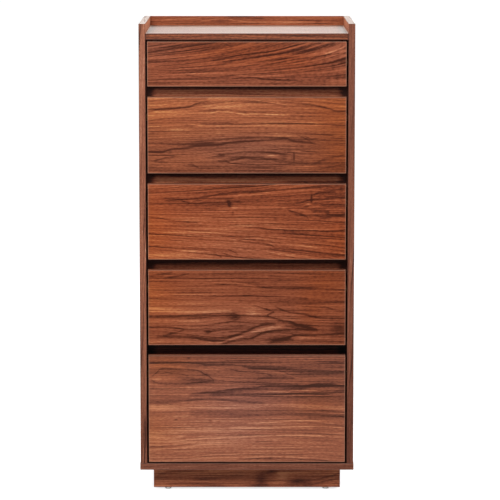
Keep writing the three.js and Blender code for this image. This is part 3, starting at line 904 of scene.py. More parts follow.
# The third drawer: small knots in its upper half, and lines that sink to the right.
THIRD_FIGURE = Figure(
    Palette.RED, tilt=(0.16, -0.40, 0.0), seed=17.0, painted_light_slope=(-0.20, 0.20),
    knots=(
        Knot(0.84, 0.25, 0.05, 0.08, lift=0.04),
        Knot(0.98, 0.23, 0.10, 0.06, lift=0.04, part=0.02),
    ),
    marks=(
        Line(-0.38, 0.022, ((0.08, 0.22), (0.17, 0.20), (0.227, 0.184), (0.29, 0.169), (0.352, 0.139),
            (0.443, 0.109), (0.556, 0.087), (0.66, 0.062))),
        Line(0.26, 0.02, ((0.40, 0.15), (0.50, 0.136), (0.556, 0.124), (0.67, 0.094), (0.743, 0.08),
            (0.90, 0.085))),
        Line(-0.20, 0.02, ((0.00, 0.10), (0.20, 0.09), (0.40, 0.05), (0.55, 0.03))),
        Spot(-0.80, 0.41, 0.25, 0.008, 0.04, turn=-4),
        Spot(-0.32, 0.45, 0.228, 0.014, 0.012),
        Spot(-0.22, 0.43, 0.38, 0.005, 0.03),
        Spot(0.26, 0.43, 0.31, 0.012, 0.02),
        Line(-0.30, 0.016, ((0.15, 0.20), (0.20, 0.235), (0.25, 0.25), (0.30, 0.24))),
        Line(-0.26, 0.014, ((0.20, 0.26), (0.26, 0.21), (0.31, 0.22))),
        Line(0.22, 0.012, ((0.20, 0.22), (0.25, 0.225), (0.30, 0.20))),
        Line(-0.30, 0.014, ((0.28, 0.32), (0.36, 0.325))),
        Line(0.20, 0.03, ((0.43, 0.295), (0.50, 0.30), (0.61, 0.295), (0.70, 0.325), (0.80, 0.35))),
        Spot(-0.62, 0.825, 0.20, 0.005, 0.05),
        Line(-0.36, 0.016, ((0.822, 0.15), (0.867, 0.117), (0.95, 0.11))),
        Spot(0.36, 0.81, 0.27, 0.02, 0.012),
        Spot(0.20, 0.95, 0.225, 0.05, 0.022),
        Line(-0.40, 0.018, ((0.86, 0.255), (0.90, 0.27), (1.00, 0.27))),
        Line(-0.30, 0.018, ((0.88, 0.20), (0.93, 0.175), (1.00, 0.18))),
        Line(-0.40, 0.03, ((0.70, 0.345), (0.75, 0.39), (0.80, 0.435), (0.815, 0.50))),
        Line(-0.36, 0.03, ((0.82, 0.36), (0.87, 0.36), (0.92, 0.37))),
        Line(-0.30, 0.025, ((0.84, 0.41), (0.89, 0.45), (0.93, 0.45))),
        Line(-0.42, 0.03, ((0.89, 0.40), (0.95, 0.41), (1.00, 0.40))),
        Line(-0.26, 0.018, ((0.00, 0.43), (0.06, 0.443), (0.10, 0.465), (0.20, 0.488), (0.26, 0.50))),
        Line(0.26, 0.02, ((0.00, 0.517), (0.13, 0.517))),
        Line(0.30, 0.014, ((0.29, 0.536), (0.40, 0.54), (0.476, 0.554), (0.55, 0.56))),
        Line(0.26, 0.016, ((0.06, 0.64), (0.20, 0.63), (0.30, 0.63), (0.42, 0.643))),
        Line(-0.26, 0.016, ((0.30, 0.655), (0.36, 0.665), (0.45, 0.69))),
        Line(-0.40, 0.016, ((0.48, 0.58), (0.556, 0.59), (0.607, 0.606), (0.70, 0.62), (0.79, 0.63),
            (0.895, 0.63), (1.00, 0.614))),
        Line(0.24, 0.014, ((0.60, 0.585), (0.70, 0.60), (0.80, 0.605), (1.00, 0.59))),
        Line(-0.34, 0.022, ((0.44, 0.74), (0.50, 0.762), (0.56, 0.777), (0.618, 0.80), (0.646, 0.829),
            (0.70, 0.836), (0.743, 0.866), (0.827, 0.888), (0.907, 0.925), (1.00, 0.94))),
        Line(-0.22, 0.016, ((0.40, 0.82), (0.49, 0.85), (0.58, 0.89), (0.66, 0.93))),
        Line(-0.24, 0.016, ((0.60, 0.85), (0.70, 0.89), (0.80, 0.93))),
        Line(0.20, 0.02, ((0.50, 0.70), (0.60, 0.73), (0.75, 0.80), (0.90, 0.86))),
        Line(0.28, 0.02, ((0.14, 0.88), (0.24, 0.885), (0.32, 0.90))),
        Line(-0.26, 0.016, ((0.00, 0.82), (0.10, 0.835), (0.18, 0.84), (0.30, 0.86))),
        Line(-0.36, 0.016, ((0.34, 0.93), (0.375, 0.97))),
        Line(-0.32, 0.016, ((0.37, 0.91), (0.43, 0.95))),
        Line(-0.28, 0.014, ((0.40, 0.86), (0.46, 0.93))),
        Line(0.24, 0.02, ((0.90, 0.755), (1.00, 0.77))),
        Spot(0.18, 0.12, 0.93, 0.14, 0.04),
        Spot(0.12, 0.50, 0.58, 0.20, 0.24),
    ),
    hue_and_sheen_casts=(
        Spot(-0.26, 0.00, 0.60, 0.14, 0.45),
        Spot(0.24, 0.48, 0.95, 0.25, 0.25),
        Spot(0.08, 0.50, 0.50, 0.25, 0.30),
        Spot(-0.22, 1.00, 0.75, 0.12, 0.25),
    ),
)
# The fourth drawer: straight lines above, and islands and a zigzag below.
FOURTH_FIGURE = Figure(
    Palette.WARM, seed=23.0, tone=0.55, painted_light_slope=(-0.16, -0.08), texture=0.95, boldness=1.02,
    knots=(
        Knot(0.00, 0.83, 0.17, 0.08, lift=0.03, part=0.03),
        Knot(0.42, 0.70, 0.12, 0.13, lift=0.06),
        Knot(0.66, 0.80, 0.12, 0.12, lift=0.06, turn=-10),
        Knot(0.36, 0.98, 0.14, 0.14, lift=-0.06),
    ),
    marks=(
        Line(-0.34, 0.024, ((0.00, 0.08), (0.05, 0.065), (0.13, 0.03))),
        Line(-0.30, 0.022, ((0.08, 0.10), (0.15, 0.08), (0.21, 0.045))),
        Line(-0.26, 0.016, ((0.60, 0.085), (0.90, 0.088))),
        Line(-0.24, 0.016, ((0.64, 0.13), (0.83, 0.127))),
        Line(0.26, 0.024, ((0.55, 0.165), (0.70, 0.17), (1.00, 0.17))),
        Line(-0.36, 0.019, ((0.55, 0.225), (0.70, 0.245), (0.85, 0.25), (1.00, 0.262))),
        Line(-0.26, 0.016, ((0.24, 0.17), (0.33, 0.175), (0.42, 0.19))),
        Line(0.26, 0.019, ((0.26, 0.185), (0.40, 0.16), (0.47, 0.18), (0.55, 0.215))),
        Line(-0.22, 0.016, ((0.10, 0.33), (0.30, 0.35))),
        Line(-0.30, 0.019, ((0.30, 0.345), (0.50, 0.34), (0.70, 0.355), (0.82, 0.37))),
        Line(-0.20, 0.016, ((0.00, 0.37), (0.20, 0.385), (0.35, 0.38))),
        Line(-0.26, 0.016, ((0.45, 0.415), (0.70, 0.42), (1.00, 0.415))),
        Line(0.28, 0.041, ((0.00, 0.52), (0.20, 0.54), (0.43, 0.535))),
        Line(-0.34, 0.022, ((0.00, 0.615), (0.15, 0.61), (0.29, 0.58), (0.42, 0.565), (0.46, 0.60))),
        Line(0.20, 0.034, ((0.00, 0.66), (0.15, 0.67), (0.28, 0.66))),
        Spot(0.24, 0.53, 0.56, 0.05, 0.08),
        Spot(-0.36, 0.435, 0.61, 0.028, 0.045),
        Line(-0.22, 0.022, ((0.27, 0.76), (0.36, 0.71), (0.44, 0.66), (0.47, 0.61))),
        Line(-0.40, 0.022, ((0.00, 0.765), (0.10, 0.76), (0.17, 0.775), (0.185, 0.79))),
        Line(-0.36, 0.024, ((0.07, 0.875), (0.13, 0.84), (0.185, 0.79))),
        Spot(-0.60, 0.303, 0.815, 0.016, 0.022),
        Line(-0.32, 0.019, ((0.29, 0.82), (0.35, 0.79), (0.43, 0.78))),
        Line(-0.44, 0.027, ((0.04, 0.89), (0.21, 0.896), (0.365, 0.93), (0.42, 0.89), (0.50, 0.81),
            (0.575, 0.735), (0.65, 0.72)), lean=-0.3),
        Line(0.30, 0.041, ((0.34, 0.96), (0.44, 0.90), (0.52, 0.83), (0.60, 0.77), (0.70, 0.74))),
        Line(0.20, 0.041, ((0.00, 0.95), (0.20, 0.945), (0.36, 0.965))),
        Line(-0.46, 0.027, ((0.365, 0.977), (0.46, 0.92), (0.52, 0.905), (0.58, 0.833), (0.637, 0.80),
            (0.72, 0.79), (0.85, 0.79))),
        Line(-0.34, 0.019, ((0.53, 0.465), (0.58, 0.50), (0.637, 0.547))),
        Line(-0.42, 0.027, ((0.60, 0.605), (0.615, 0.575), (0.64, 0.547)), fade=0.005),
        Line(-0.44, 0.027, ((0.60, 0.605), (0.665, 0.663), (0.72, 0.69), (0.77, 0.735), (0.86, 0.79)),
            fade=0.01),
        Spot(-0.50, 0.775, 0.745, 0.06, 0.035, turn=12),
        Line(-0.42, 0.024, ((0.637, 0.475), (0.705, 0.555), (0.786, 0.59), (0.854, 0.636), (1.00, 0.645)),
            lean=-0.3),
        Spot(-0.20, 0.845, 0.625, 0.02, 0.014),
        Line(-0.32, 0.019, ((0.766, 0.475), (0.89, 0.484), (0.95, 0.53), (1.00, 0.54))),
        Spot(-0.30, 0.965, 0.76, 0.04, 0.07),
        Line(-0.40, 0.022, ((0.70, 0.90), (0.75, 0.865), (0.87, 0.85), (1.00, 0.83))),
        Line(0.26, 0.041, ((0.73, 0.92), (0.85, 0.885), (1.00, 0.88))),
        Line(-0.42, 0.041, ((0.60, 0.985), (0.664, 0.93), (0.73, 0.89))),
        Spot(-0.36, 0.66, 0.92, 0.07, 0.04, turn=-10),
        Spot(-0.16, 0.46, 0.72, 0.08, 0.08),
        Spot(-0.14, 0.50, 0.12, 0.70, 0.18),
        Spot(0.10, 0.50, 0.50, 0.70, 0.16),
    ),
    hue_and_sheen_casts=(
        Spot(-0.27, 0.00, 0.30, 0.17, 0.40),
        Spot(0.34, 0.50, 0.85, 0.34, 0.34),
        Spot(-0.24, 0.90, 0.15, 0.13, 0.35),
        Spot(-0.15, 0.82, 0.60, 0.06, 0.30),
    ),
)
# The deep drawer: an eye and flames at the top, a dark band, and straight lines below.
DEEP_FIGURE = Figure(
    Palette.GREY, seed=31.0, tone=0.62, painted_light_slope=(-0.16, 0.36), texture=0.93, boldness=0.88,
    knots=(
        Knot(0.17, 0.21, 0.15, 0.07, lift=0.03, part=0.015),
        Knot(0.55, 0.90, 0.45, 0.30, lift=0.04),
    ),
    marks=(
        Spot(-0.32, 0.205, 0.025, 0.010, 0.008),
        Spot(-0.12, 0.16, 0.19, 0.14, 0.06),
        Line(-0.36, 0.010, ((0.00, 0.072), (0.10, 0.058), (0.20, 0.062), (0.30, 0.08), (0.42, 0.09),
            (0.52, 0.10))),
        Line(0.24, 0.012, ((0.00, 0.105), (0.10, 0.10), (0.25, 0.115), (0.38, 0.13))),
        Line(-0.30, 0.014, ((0.018, 0.20), (0.04, 0.166), (0.063, 0.125), (0.13, 0.115), (0.227, 0.125),
            (0.26, 0.14), (0.284, 0.17), (0.335, 0.245)), fade=0.01),
        Line(-0.28, 0.014, ((0.012, 0.235), (0.052, 0.265), (0.103, 0.268), (0.205, 0.268), (0.27, 0.255),
            (0.335, 0.245)), fade=0.01),
        Spot(-0.30, 0.29, 0.18, 0.018, 0.018),
        Spot(-0.22, 0.27, 0.24, 0.06, 0.022),
        Line(-0.28, 0.012, ((0.05, 0.18), (0.10, 0.165), (0.15, 0.17), (0.21, 0.20))),
        Spot(0.26, 0.10, 0.232, 0.07, 0.018),
        Spot(0.16, 0.045, 0.23, 0.015, 0.012),
        Line(-0.32, 0.012, ((0.41, 0.125), (0.45, 0.145), (0.52, 0.155), (0.58, 0.165), (0.635, 0.19))),
        Line(-0.30, 0.012, ((0.54, 0.23), (0.57, 0.215), (0.635, 0.20))),
        Line(-0.30, 0.012, ((0.47, 0.10), (0.53, 0.115), (0.60, 0.12), (0.68, 0.15), (0.72, 0.185))),
        Line(0.18, 0.010, ((0.55, 0.13), (0.63, 0.15), (0.70, 0.18), (0.76, 0.205))),
        Line(-0.32, 0.035, ((0.50, 0.115), (0.62, 0.12), (0.70, 0.135), (0.78, 0.155), (0.88, 0.16),
            (1.00, 0.155)), lean=0.0),
        Line(0.22, 0.022, ((0.72, 0.20), (0.80, 0.215), (0.88, 0.21), (1.00, 0.225))),
        Line(-0.50, 0.028, ((0.20, 0.36), (0.35, 0.335), (0.45, 0.31), (0.55, 0.295), (0.62, 0.285),
            (0.70, 0.29), (0.80, 0.28), (0.84, 0.262), (0.90, 0.262), (1.00, 0.285)), lean=0.6),
        Spot(-0.26, 0.86, 0.285, 0.13, 0.022),
        Line(0.28, 0.010, ((0.60, 0.335), (0.70, 0.335), (0.74, 0.318), (0.80, 0.318), (0.88, 0.33))),
        Line(-0.40, 0.022, ((0.30, 0.375), (0.45, 0.36), (0.55, 0.355), (0.65, 0.36), (0.75, 0.35),
            (0.85, 0.35), (1.00, 0.335)), lean=-0.2),
        Line(-0.36, 0.010, ((0.70, 0.385), (0.80, 0.38), (1.00, 0.385))),
        Spot(-0.24, 0.12, 0.40, 0.20, 0.035),
        Line(-0.30, 0.02, ((0.00, 0.44), (0.15, 0.435), (0.30, 0.41), (0.50, 0.44), (0.60, 0.45)),
            lean=-0.5),
        Line(0.26, 0.035, ((0.00, 0.475), (0.20, 0.48), (0.40, 0.475), (0.70, 0.465), (0.85, 0.48),
            (1.00, 0.49))),
        Spot(0.14, 0.06, 0.50, 0.08, 0.03),
        Line(-0.24, 0.03, ((0.20, 0.55), (0.35, 0.545), (0.50, 0.55), (0.70, 0.55), (0.85, 0.555),
            (1.00, 0.565)), lean=0.0),
        Spot(-0.42, 0.14, 0.59, 0.008, 0.006),
        Spot(-0.46, 0.313, 0.607, 0.008, 0.006),
        Line(0.24, 0.012, ((0.50, 0.63), (0.65, 0.62), (0.80, 0.61), (0.95, 0.65))),
        Line(-0.22, 0.012, ((0.80, 0.635), (0.90, 0.65), (1.00, 0.67))),
        Line(0.20, 0.03, ((0.40, 0.68), (0.55, 0.68), (0.70, 0.67), (0.85, 0.68))),
        Line(0.24, 0.02, ((0.00, 0.77), (0.10, 0.77), (0.20, 0.74))),
        Line(0.28, 0.012, ((0.00, 0.81), (0.10, 0.805), (0.20, 0.785), (0.35, 0.77), (0.50, 0.76),
            (0.70, 0.755), (0.90, 0.76))),
        Line(-0.20, 0.010, ((0.00, 0.86), (0.15, 0.84), (0.30, 0.80))),
        Line(0.18, 0.012, ((0.00, 0.88), (0.15, 0.86), (0.30, 0.83), (0.40, 0.81))),
        Line(-0.20, 0.012, ((0.83, 0.80), (0.90, 0.80), (1.00, 0.81))),
        Line(-0.30, 0.010, ((0.30, 0.995), (0.45, 0.985), (0.55, 0.965), (0.65, 0.96), (0.75, 0.97),
            (0.85, 0.975), (0.95, 0.995))),
        Spot(-0.20, 0.08, 0.92, 0.30, 0.12),
    ),
    hue_and_sheen_casts=(
        Spot(-0.20, 0.08, 0.08, 0.15, 0.15),
        Spot(0.22, 0.48, 0.42, 0.22, 0.16),
        Spot(0.13, 0.45, 0.72, 0.20, 0.15),
        Spot(-0.14, 0.00, 0.70, 0.12, 0.20),
        Spot(-0.12, 0.85, 0.45, 0.12, 0.20),
    ),
)
# The gallery's back rail: golden arcs over darker swirls, in the part above the top.
GALLERY_FIGURE = Figure(
    Palette.RUST, seed=49.0, tone=0.58, wave=0.05, texture=0.8, flow=0.35, boldness=0.7,
    marks=(
        Line(0.34, 0.05, ((0.05, 0.30), (0.12, 0.21), (0.20, 0.17), (0.27, 0.19))),
        Line(-0.22, 0.05, ((0.00, 0.38), (0.10, 0.36), (0.22, 0.34), (0.30, 0.40))),
        Line(0.44, 0.045, ((0.25, 0.34), (0.31, 0.24), (0.36, 0.17), (0.41, 0.20), (0.45, 0.30),
            (0.52, 0.36), (0.60, 0.37))),
        Spot(-0.30, 0.36, 0.34, 0.05, 0.08),
        Line(-0.34, 0.05, ((0.38, 0.06), (0.46, 0.08), (0.54, 0.12), (0.62, 0.20))),
        Spot(-0.26, 0.56, 0.22, 0.03, 0.05),
        Line(0.20, 0.05, ((0.57, 0.12), (0.65, 0.10), (0.74, 0.14))),
        Spot(0.20, 0.70, 0.36, 0.11, 0.12),
        Line(-0.24, 0.05, ((0.66, 0.20), (0.76, 0.26), (0.84, 0.24))),
        Spot(-0.46, 0.868, 0.34, 0.014, 0.07),
        Spot(-0.26, 0.96, 0.28, 0.05, 0.10),
        Line(0.20, 0.05, ((0.78, 0.10), (0.88, 0.14), (0.97, 0.12))),
    ),
)
# The plinth's front: a warm foot on the left, dark flames right of the middle, and painted light that
# lightens its upper part, which lies in the shade of the case's overhang.
PLINTH_FIGURE = Figure(
    Palette.UMBER, seed=67.0, tone=0.755, painted_light_slope=(-0.04, -0.52), wave=0.08,
    marks=(
        Spot(0.22, 0.10, 0.92, 0.12, 0.16),
        Spot(0.20, 0.45, 0.95, 0.10, 0.14),
        Spot(-0.14, 0.16, 0.30, 0.20, 0.22),
        Line(-0.30, 0.12, ((0.02, 0.34), (0.10, 0.20), (0.20, 0.14), (0.30, 0.16))),
        Line(-0.22, 0.10, ((0.06, 0.82), (0.16, 0.80), (0.30, 0.86), (0.38, 0.90))),
        Line(-0.18, 0.10, ((0.20, 0.55), (0.35, 0.50), (0.52, 0.42))),
        Spot(-0.44, 0.575, 0.60, 0.030, 0.30),
        Spot(-0.36, 0.625, 0.26, 0.045, 0.16),
        Spot(-0.26, 0.56, 0.94, 0.045, 0.12),
        Line(-0.26, 0.10, ((0.60, 0.30), (0.66, 0.20), (0.74, 0.16), (0.84, 0.10))),
        Spot(0.42, 0.690, 0.42, 0.030, 0.24),
        Spot(0.24, 0.665, 0.82, 0.05, 0.18),
        Spot(-0.50, 0.775, 0.72, 0.045, 0.13, turn=6),
        Spot(-0.26, 0.83, 0.88, 0.03, 0.10),
        Spot(-0.20, 0.89, 0.12, 0.10, 0.12),
        Line(-0.30, 0.09, ((0.87, 0.62), (0.93, 0.50), (1.00, 0.28))),
        Line(-0.26, 0.08, ((0.84, 0.92), (0.92, 0.72), (1.00, 0.56))),
        Spot(0.20, 0.93, 0.92, 0.08, 0.12),
    ),
)


@dataclass(frozen=True)
class FrontVeneer:
    """The veneer of one drawer front, whose grain lies across."""

    node: str
    figure: Figure
    lacquer: Lacquer = SATIN
    # A painted highlight along each front's rounded edges, inside a rim of painted shade.
    arris: Arris = Arris(3.2 * MM, srgb(206, 148, 120), rim=1.2 * MM)

    def material(self) -> bpy.types.Material:
        """Lays the sheet's figure over walnut, and lacquers it.

        Returns:
            The finished material.
        """
        low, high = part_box(self.node)
        width, height = high.x - low.x, high.z - low.z
        figure = self.figure
        recipe = Recipe(f"veneer_{self.node}")
        x, y, z = recipe.place()
        across = x.scaled(1 / width, -low.x / width)
        depth = y.scaled(1 / height, (high.z - low.y) / height)
        sheet = Sheet(recipe, across, z.scaled(-1 / height, depth))
        metres = recipe.vector(x, z)
        ripple = recipe.noise(metres, RIPPLE_CELLS, (figure.seed,))
        jitter = recipe.noise(metres, JITTER_CELLS, (figure.seed,), roughness=0.6)
        rippled = Sheet(recipe, across, (ripple - 0.5).scaled(2 * figure.wave, sheet.down))
        clear, level = figure.levels(sheet, rippled)
        tone, relief = wood_layers(recipe, x, level * height, clear * height, figure.seed,
                                   figure.grain())
        drawn = Sheet(recipe, across, (jitter - 0.5).scaled(JITTER / height, rippled.down))
        strength = recipe.noise(metres, BREAK_CELLS, roughness=0.6).scaled(*BREAKS)
        tone = figure.marked(drawn, tone, strength)
        # The ends take painted shade of the seams beside them, and no painted edge light.
        on_end = recipe.facing()[0].magnitude().above(FACING)
        colour = figure.colour(sheet, on_end.scaled(PAINTED_SEAM_SHADE, tone))
        colour = self.arris.ease(recipe, colour, self.node, on_end.scaled(-1.0, 1.0))
        self.lacquer.coat(recipe, colour, relief, WALNUT.pore_depth)
        return recipe.material


class Way(Enum):
    """How a board's grain lies: the axes along it, across it and through the board."""

    ACROSS_FLAT = "xyz"
    ACROSS_UPRIGHT = "xzy"
    DEEP_UPRIGHT = "yzx"
    UPRIGHT = "zyx"
    UPRIGHT_WIDE = "zxy"


@dataclass(frozen=True)
class BoardFinish:
    """The wood of a board, with broad arches along its grain.

    The arches close round the heart, which is a place along and across the grain. They are as
    wide as the heart radius there, widen by the taper and wander to the sides. The painted light
    slope is painted light: how much lighter the board gets along its grain. The painted end
    shading is a tone near the two ends, painted light where it lightens and painted shade where
    it darkens, and how far it reaches. The height shade is painted shade: a tone, the height
    where it starts and the height where it is whole. The inside shade and gallery light are two
    tones: painted shade on the faces that look into the case, and painted light on those inside
    the gallery. The edges and the faces on the end grain can have colours of their own.
    """

    way: Way
    palette: Palette
    grain: Grain = CASE_WALNUT
    lacquer: Lacquer = SATIN
    tone: float = 0.5
    painted_light_slope: float = 0.0
    end_tone: float = 0.0
    edge_palette: Optional[Palette] = None
    edge_tone: float = 0.0
    edge_contrast: float = 1.0
    end_palette: Optional[Palette] = None
    painted_end_shading: tuple[float, float] = (0.0, 0.01)
    height_shade: tuple[float, float, float] = (0.0, 0.0, 1.0)
    inside_shade_and_gallery_light: tuple[float, float] = (0.0, 0.0)
    heart: tuple[float, float] = (0.0, 0.0)
    heart_radius: float = 0.05
    taper: float = 0.10
    wander: float = 0.035
    wander_cells: tuple[float, float, float] = (2.5, 9, 9)
    seed: float = 0.0
    arris: Arris = Arris()

    def material(self, node: str) -> bpy.types.Material:
        """The material of one board.

        Args:
            node: The board's name.

        Returns:
            The finished material.
        """
        recipe = Recipe(f"wood_{node}")
        places = dict(zip("xyz", recipe.place()))
        faces = dict(zip("xyz", recipe.facing()))
        run, wide, thick = self.way.value
        on_end = faces[run].magnitude().above(FACING)
        to_wide = (places[wide] - places[run]) * on_end
        along, across = places[run] + to_wide, places[wide] - to_wide
        figure, relief = self.arches(recipe, along, across, places[thick])
        low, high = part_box(node)
        length = dict(zip("xyz", high - low))[run]
        middle = dict(zip("xyz", (low + high) / 2))[run]
        # The slope along the grain is painted light.
        plain_tone = figure + (places[run] - middle) * (self.painted_light_slope / length)
        tone = on_end.scaled(self.end_tone, plain_tone + self.tone)
        # Painted light near the ends where the tone is above 0, painted shade where it is below.
        shade, reach = self.painted_end_shading
        if shade:
            to_middle = (places[run] - middle).magnitude()
            tone = to_middle.rise(length / 2 - reach, length / 2).scaled(shade, tone)
        shade, start, end = self.height_shade
        if shade:
            tone = places["z"].rise(start, end).scaled(shade, tone)
        # Painted shade inside the case, and painted light inside the gallery.
        if any(self.inside_shade_and_gallery_light):
            tone = self.line(places[thick], faces[thick], places["z"]).scaled(1.0, tone)
        colour = recipe.ramp(tone, self.palette)
        if self.end_palette:
            colour = recipe.mixed(on_end, colour, recipe.ramp(tone, self.end_palette))
        if self.edge_palette:
            on_edge = faces[wide].magnitude().above(FACING)
            edge_tone = plain_tone.scaled(self.edge_contrast, self.tone + self.edge_tone)
            edge = recipe.ramp(edge_tone, self.edge_palette)
            colour = recipe.mixed(on_edge, colour, edge)
        colour = self.arris.ease(recipe, colour, node)
        self.lacquer.coat(recipe, colour, relief, self.grain.pore_depth)
        return recipe.material

    def arches(self, recipe: Recipe, along: Wire, across: Wire, through: Wire
               ) -> tuple[Wire, Wire]:
        """The board's growth lines and fibres.

        Args:
            recipe: The material.
            along: The place along the grain.
            across: The place across it.
            through: The place along the board's thickness.

        Returns:
            What they add to the tone, and the texture for gloss and relief.
        """
        place = recipe.vector(along, across, through)
        ripple = recipe.noise(place, self.wander_cells, (self.seed,), solid=True)
        heart_along, heart_across = self.heart
        radius = (along - heart_along).scaled(self.taper, self.heart_radius)
        aside = (ripple - 0.5).scaled(self.wander, (across + through) - heart_across)
        level = (aside * aside).scaled(1.0, radius * radius).calculate("SQRT")
        return wood_layers(recipe, along, level, aside, self.seed, self.grain)

    def line(self, through: Wire, facing: Wire, height: Wire) -> Wire:
        """What the painted inside shade and gallery light add to the tone on the faces that look into the
        case.

        Args:
            through: The place along the board's thickness.
            facing: How far the surface faces along it.
            height: The height above the floor.

        Returns:
            The painted shade below the top, and the painted light of the gallery's inside above it, as a
            tone.
        """
        below, above = self.inside_shade_and_gallery_light
        middle = CASE_MIDDLE if self.way.value[2] == "z" else 0.0
        inward = ((through - middle) * facing).below(-INSIDE)
        over_top = height.rise(GALLERY_FOOT, GALLERY_FOOT + 2 * MM)
        return inward * over_top.scaled(above - below, below)


@dataclass(frozen=True)
class Nylon:
    """Moulded nylon with a fine spark-eroded surface, scuffed in places.

    The cells are cells a metre. The scuffs start to show at the first of the worn limits and
    are whole at the second. The roughness is how much it varies with them, and its least.
    """

    colour: Colour = srgb(192, 194, 194)
    worn_colour: Colour = srgb(148, 148, 146)
    worn_limits: tuple[float, float] = (0.5, 0.72)
    worn_share: float = 0.5
    roughness: tuple[float, float] = (0.3, 0.3)
    specular: float = 0.45
    spark_cells: tuple[float, float, float] = (2600, 2600, 2600)
    spark_depth: float = 0.03 * MM
    scuff_cells: tuple[float, float, float] = (260, 90, 40)

    def material(self, name: str) -> bpy.types.Material:
        """Makes the material.

        Args:
            name: The material's name.

        Returns:
            The finished material.
        """
        recipe = Recipe(name)
        place = recipe.vector(*recipe.place())
        sparks = recipe.noise(place, self.spark_cells, detail=1, solid=True)
        scuffs = recipe.noise(place, self.scuff_cells, detail=3, roughness=0.6, solid=True)
        worn = scuffs.rise(*self.worn_limits) * self.worn_share
        recipe.set(Base_Color=recipe.mixed(worn, self.colour, self.worn_colour),
                   Roughness=scuffs.scaled(*self.roughness), Specular_IOR_Level=self.specular)
        recipe.bump(sparks, self.spark_depth)
        return recipe.material


@dataclass(frozen=True)
class ZincSteel:
    """Zinc-plated steel with a cloudy bloom, and painted shade in the recess of each head.

    The cells are cells a metre. The roughness is how much it varies, and its least.
    """

    colour: Colour = srgb(206, 204, 198)
    dull_colour: Colour = srgb(160, 158, 150)
    painted_recess_shade: Colour = srgb(62, 58, 54)
    recess_attribute: str = "recess"
    bloom_cells: tuple[float, float, float] = (420, 420, 420)
    bloom_depth: float = 0.02 * MM
    roughness: tuple[float, float] = (0.25, 0.22)

    def material(self, name: str) -> bpy.types.Material:
        """Makes the material.

        Args:
            name: The material's name.

        Returns:
            The finished material.
        """
        recipe = Recipe(name)
        place = recipe.vector(*recipe.place())
        bloom = recipe.noise(place, self.bloom_cells, detail=3, roughness=0.6, solid=True)
        colour = recipe.mixed(bloom, self.colour, self.dull_colour)
        # Painted shade in each head's recess.
        reader = recipe.add("ShaderNodeAttribute", {"attribute_name": self.recess_attribute})
        colour = recipe.mixed(Wire(recipe, reader.outputs["Fac"]), colour, self.painted_recess_shade)
        recipe.set(Base_Color=colour, Metallic=1.0, Roughness=bloom.scaled(*self.roughness))
        recipe.bump(bloom, self.bloom_depth)
        return recipe.material


# -------------------------------------------------------------------------- sub-assemblies
def dress(node: str, material: bpy.types.Material) -> None:
    """Gives a piece of the frame a material, and reports it.

    Args:
        node: The piece's name.
        material: The material.
    """
    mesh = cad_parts[node].data
    mesh.materials.clear()
    mesh.materials.append(material)
    LOG.info("%s: %s", node, material.name)


def dress_boards(finishes: dict[str, BoardFinish]) -> None:
    """Gives each board its own wood."""
    for node, finish in finishes.items():
        dress(node, finish.material(node))


@dataclass
class DrawerFronts:
    """The five drawer fronts, each from its own sheet of veneer."""

    figures: tuple[Figure, ...] = (TOP_FIGURE, SECOND_FIGURE, THIRD_FIGURE, FOURTH_FIGURE,
                                   DEEP_FIGURE)

    def build(self) -> None:
        """Dresses the fronts."""
        for number, figure in zip(DRAWERS, self.figures):
            node = f"drawer_{number}_front"
            dress(node, FrontVeneer(node, figure).material())


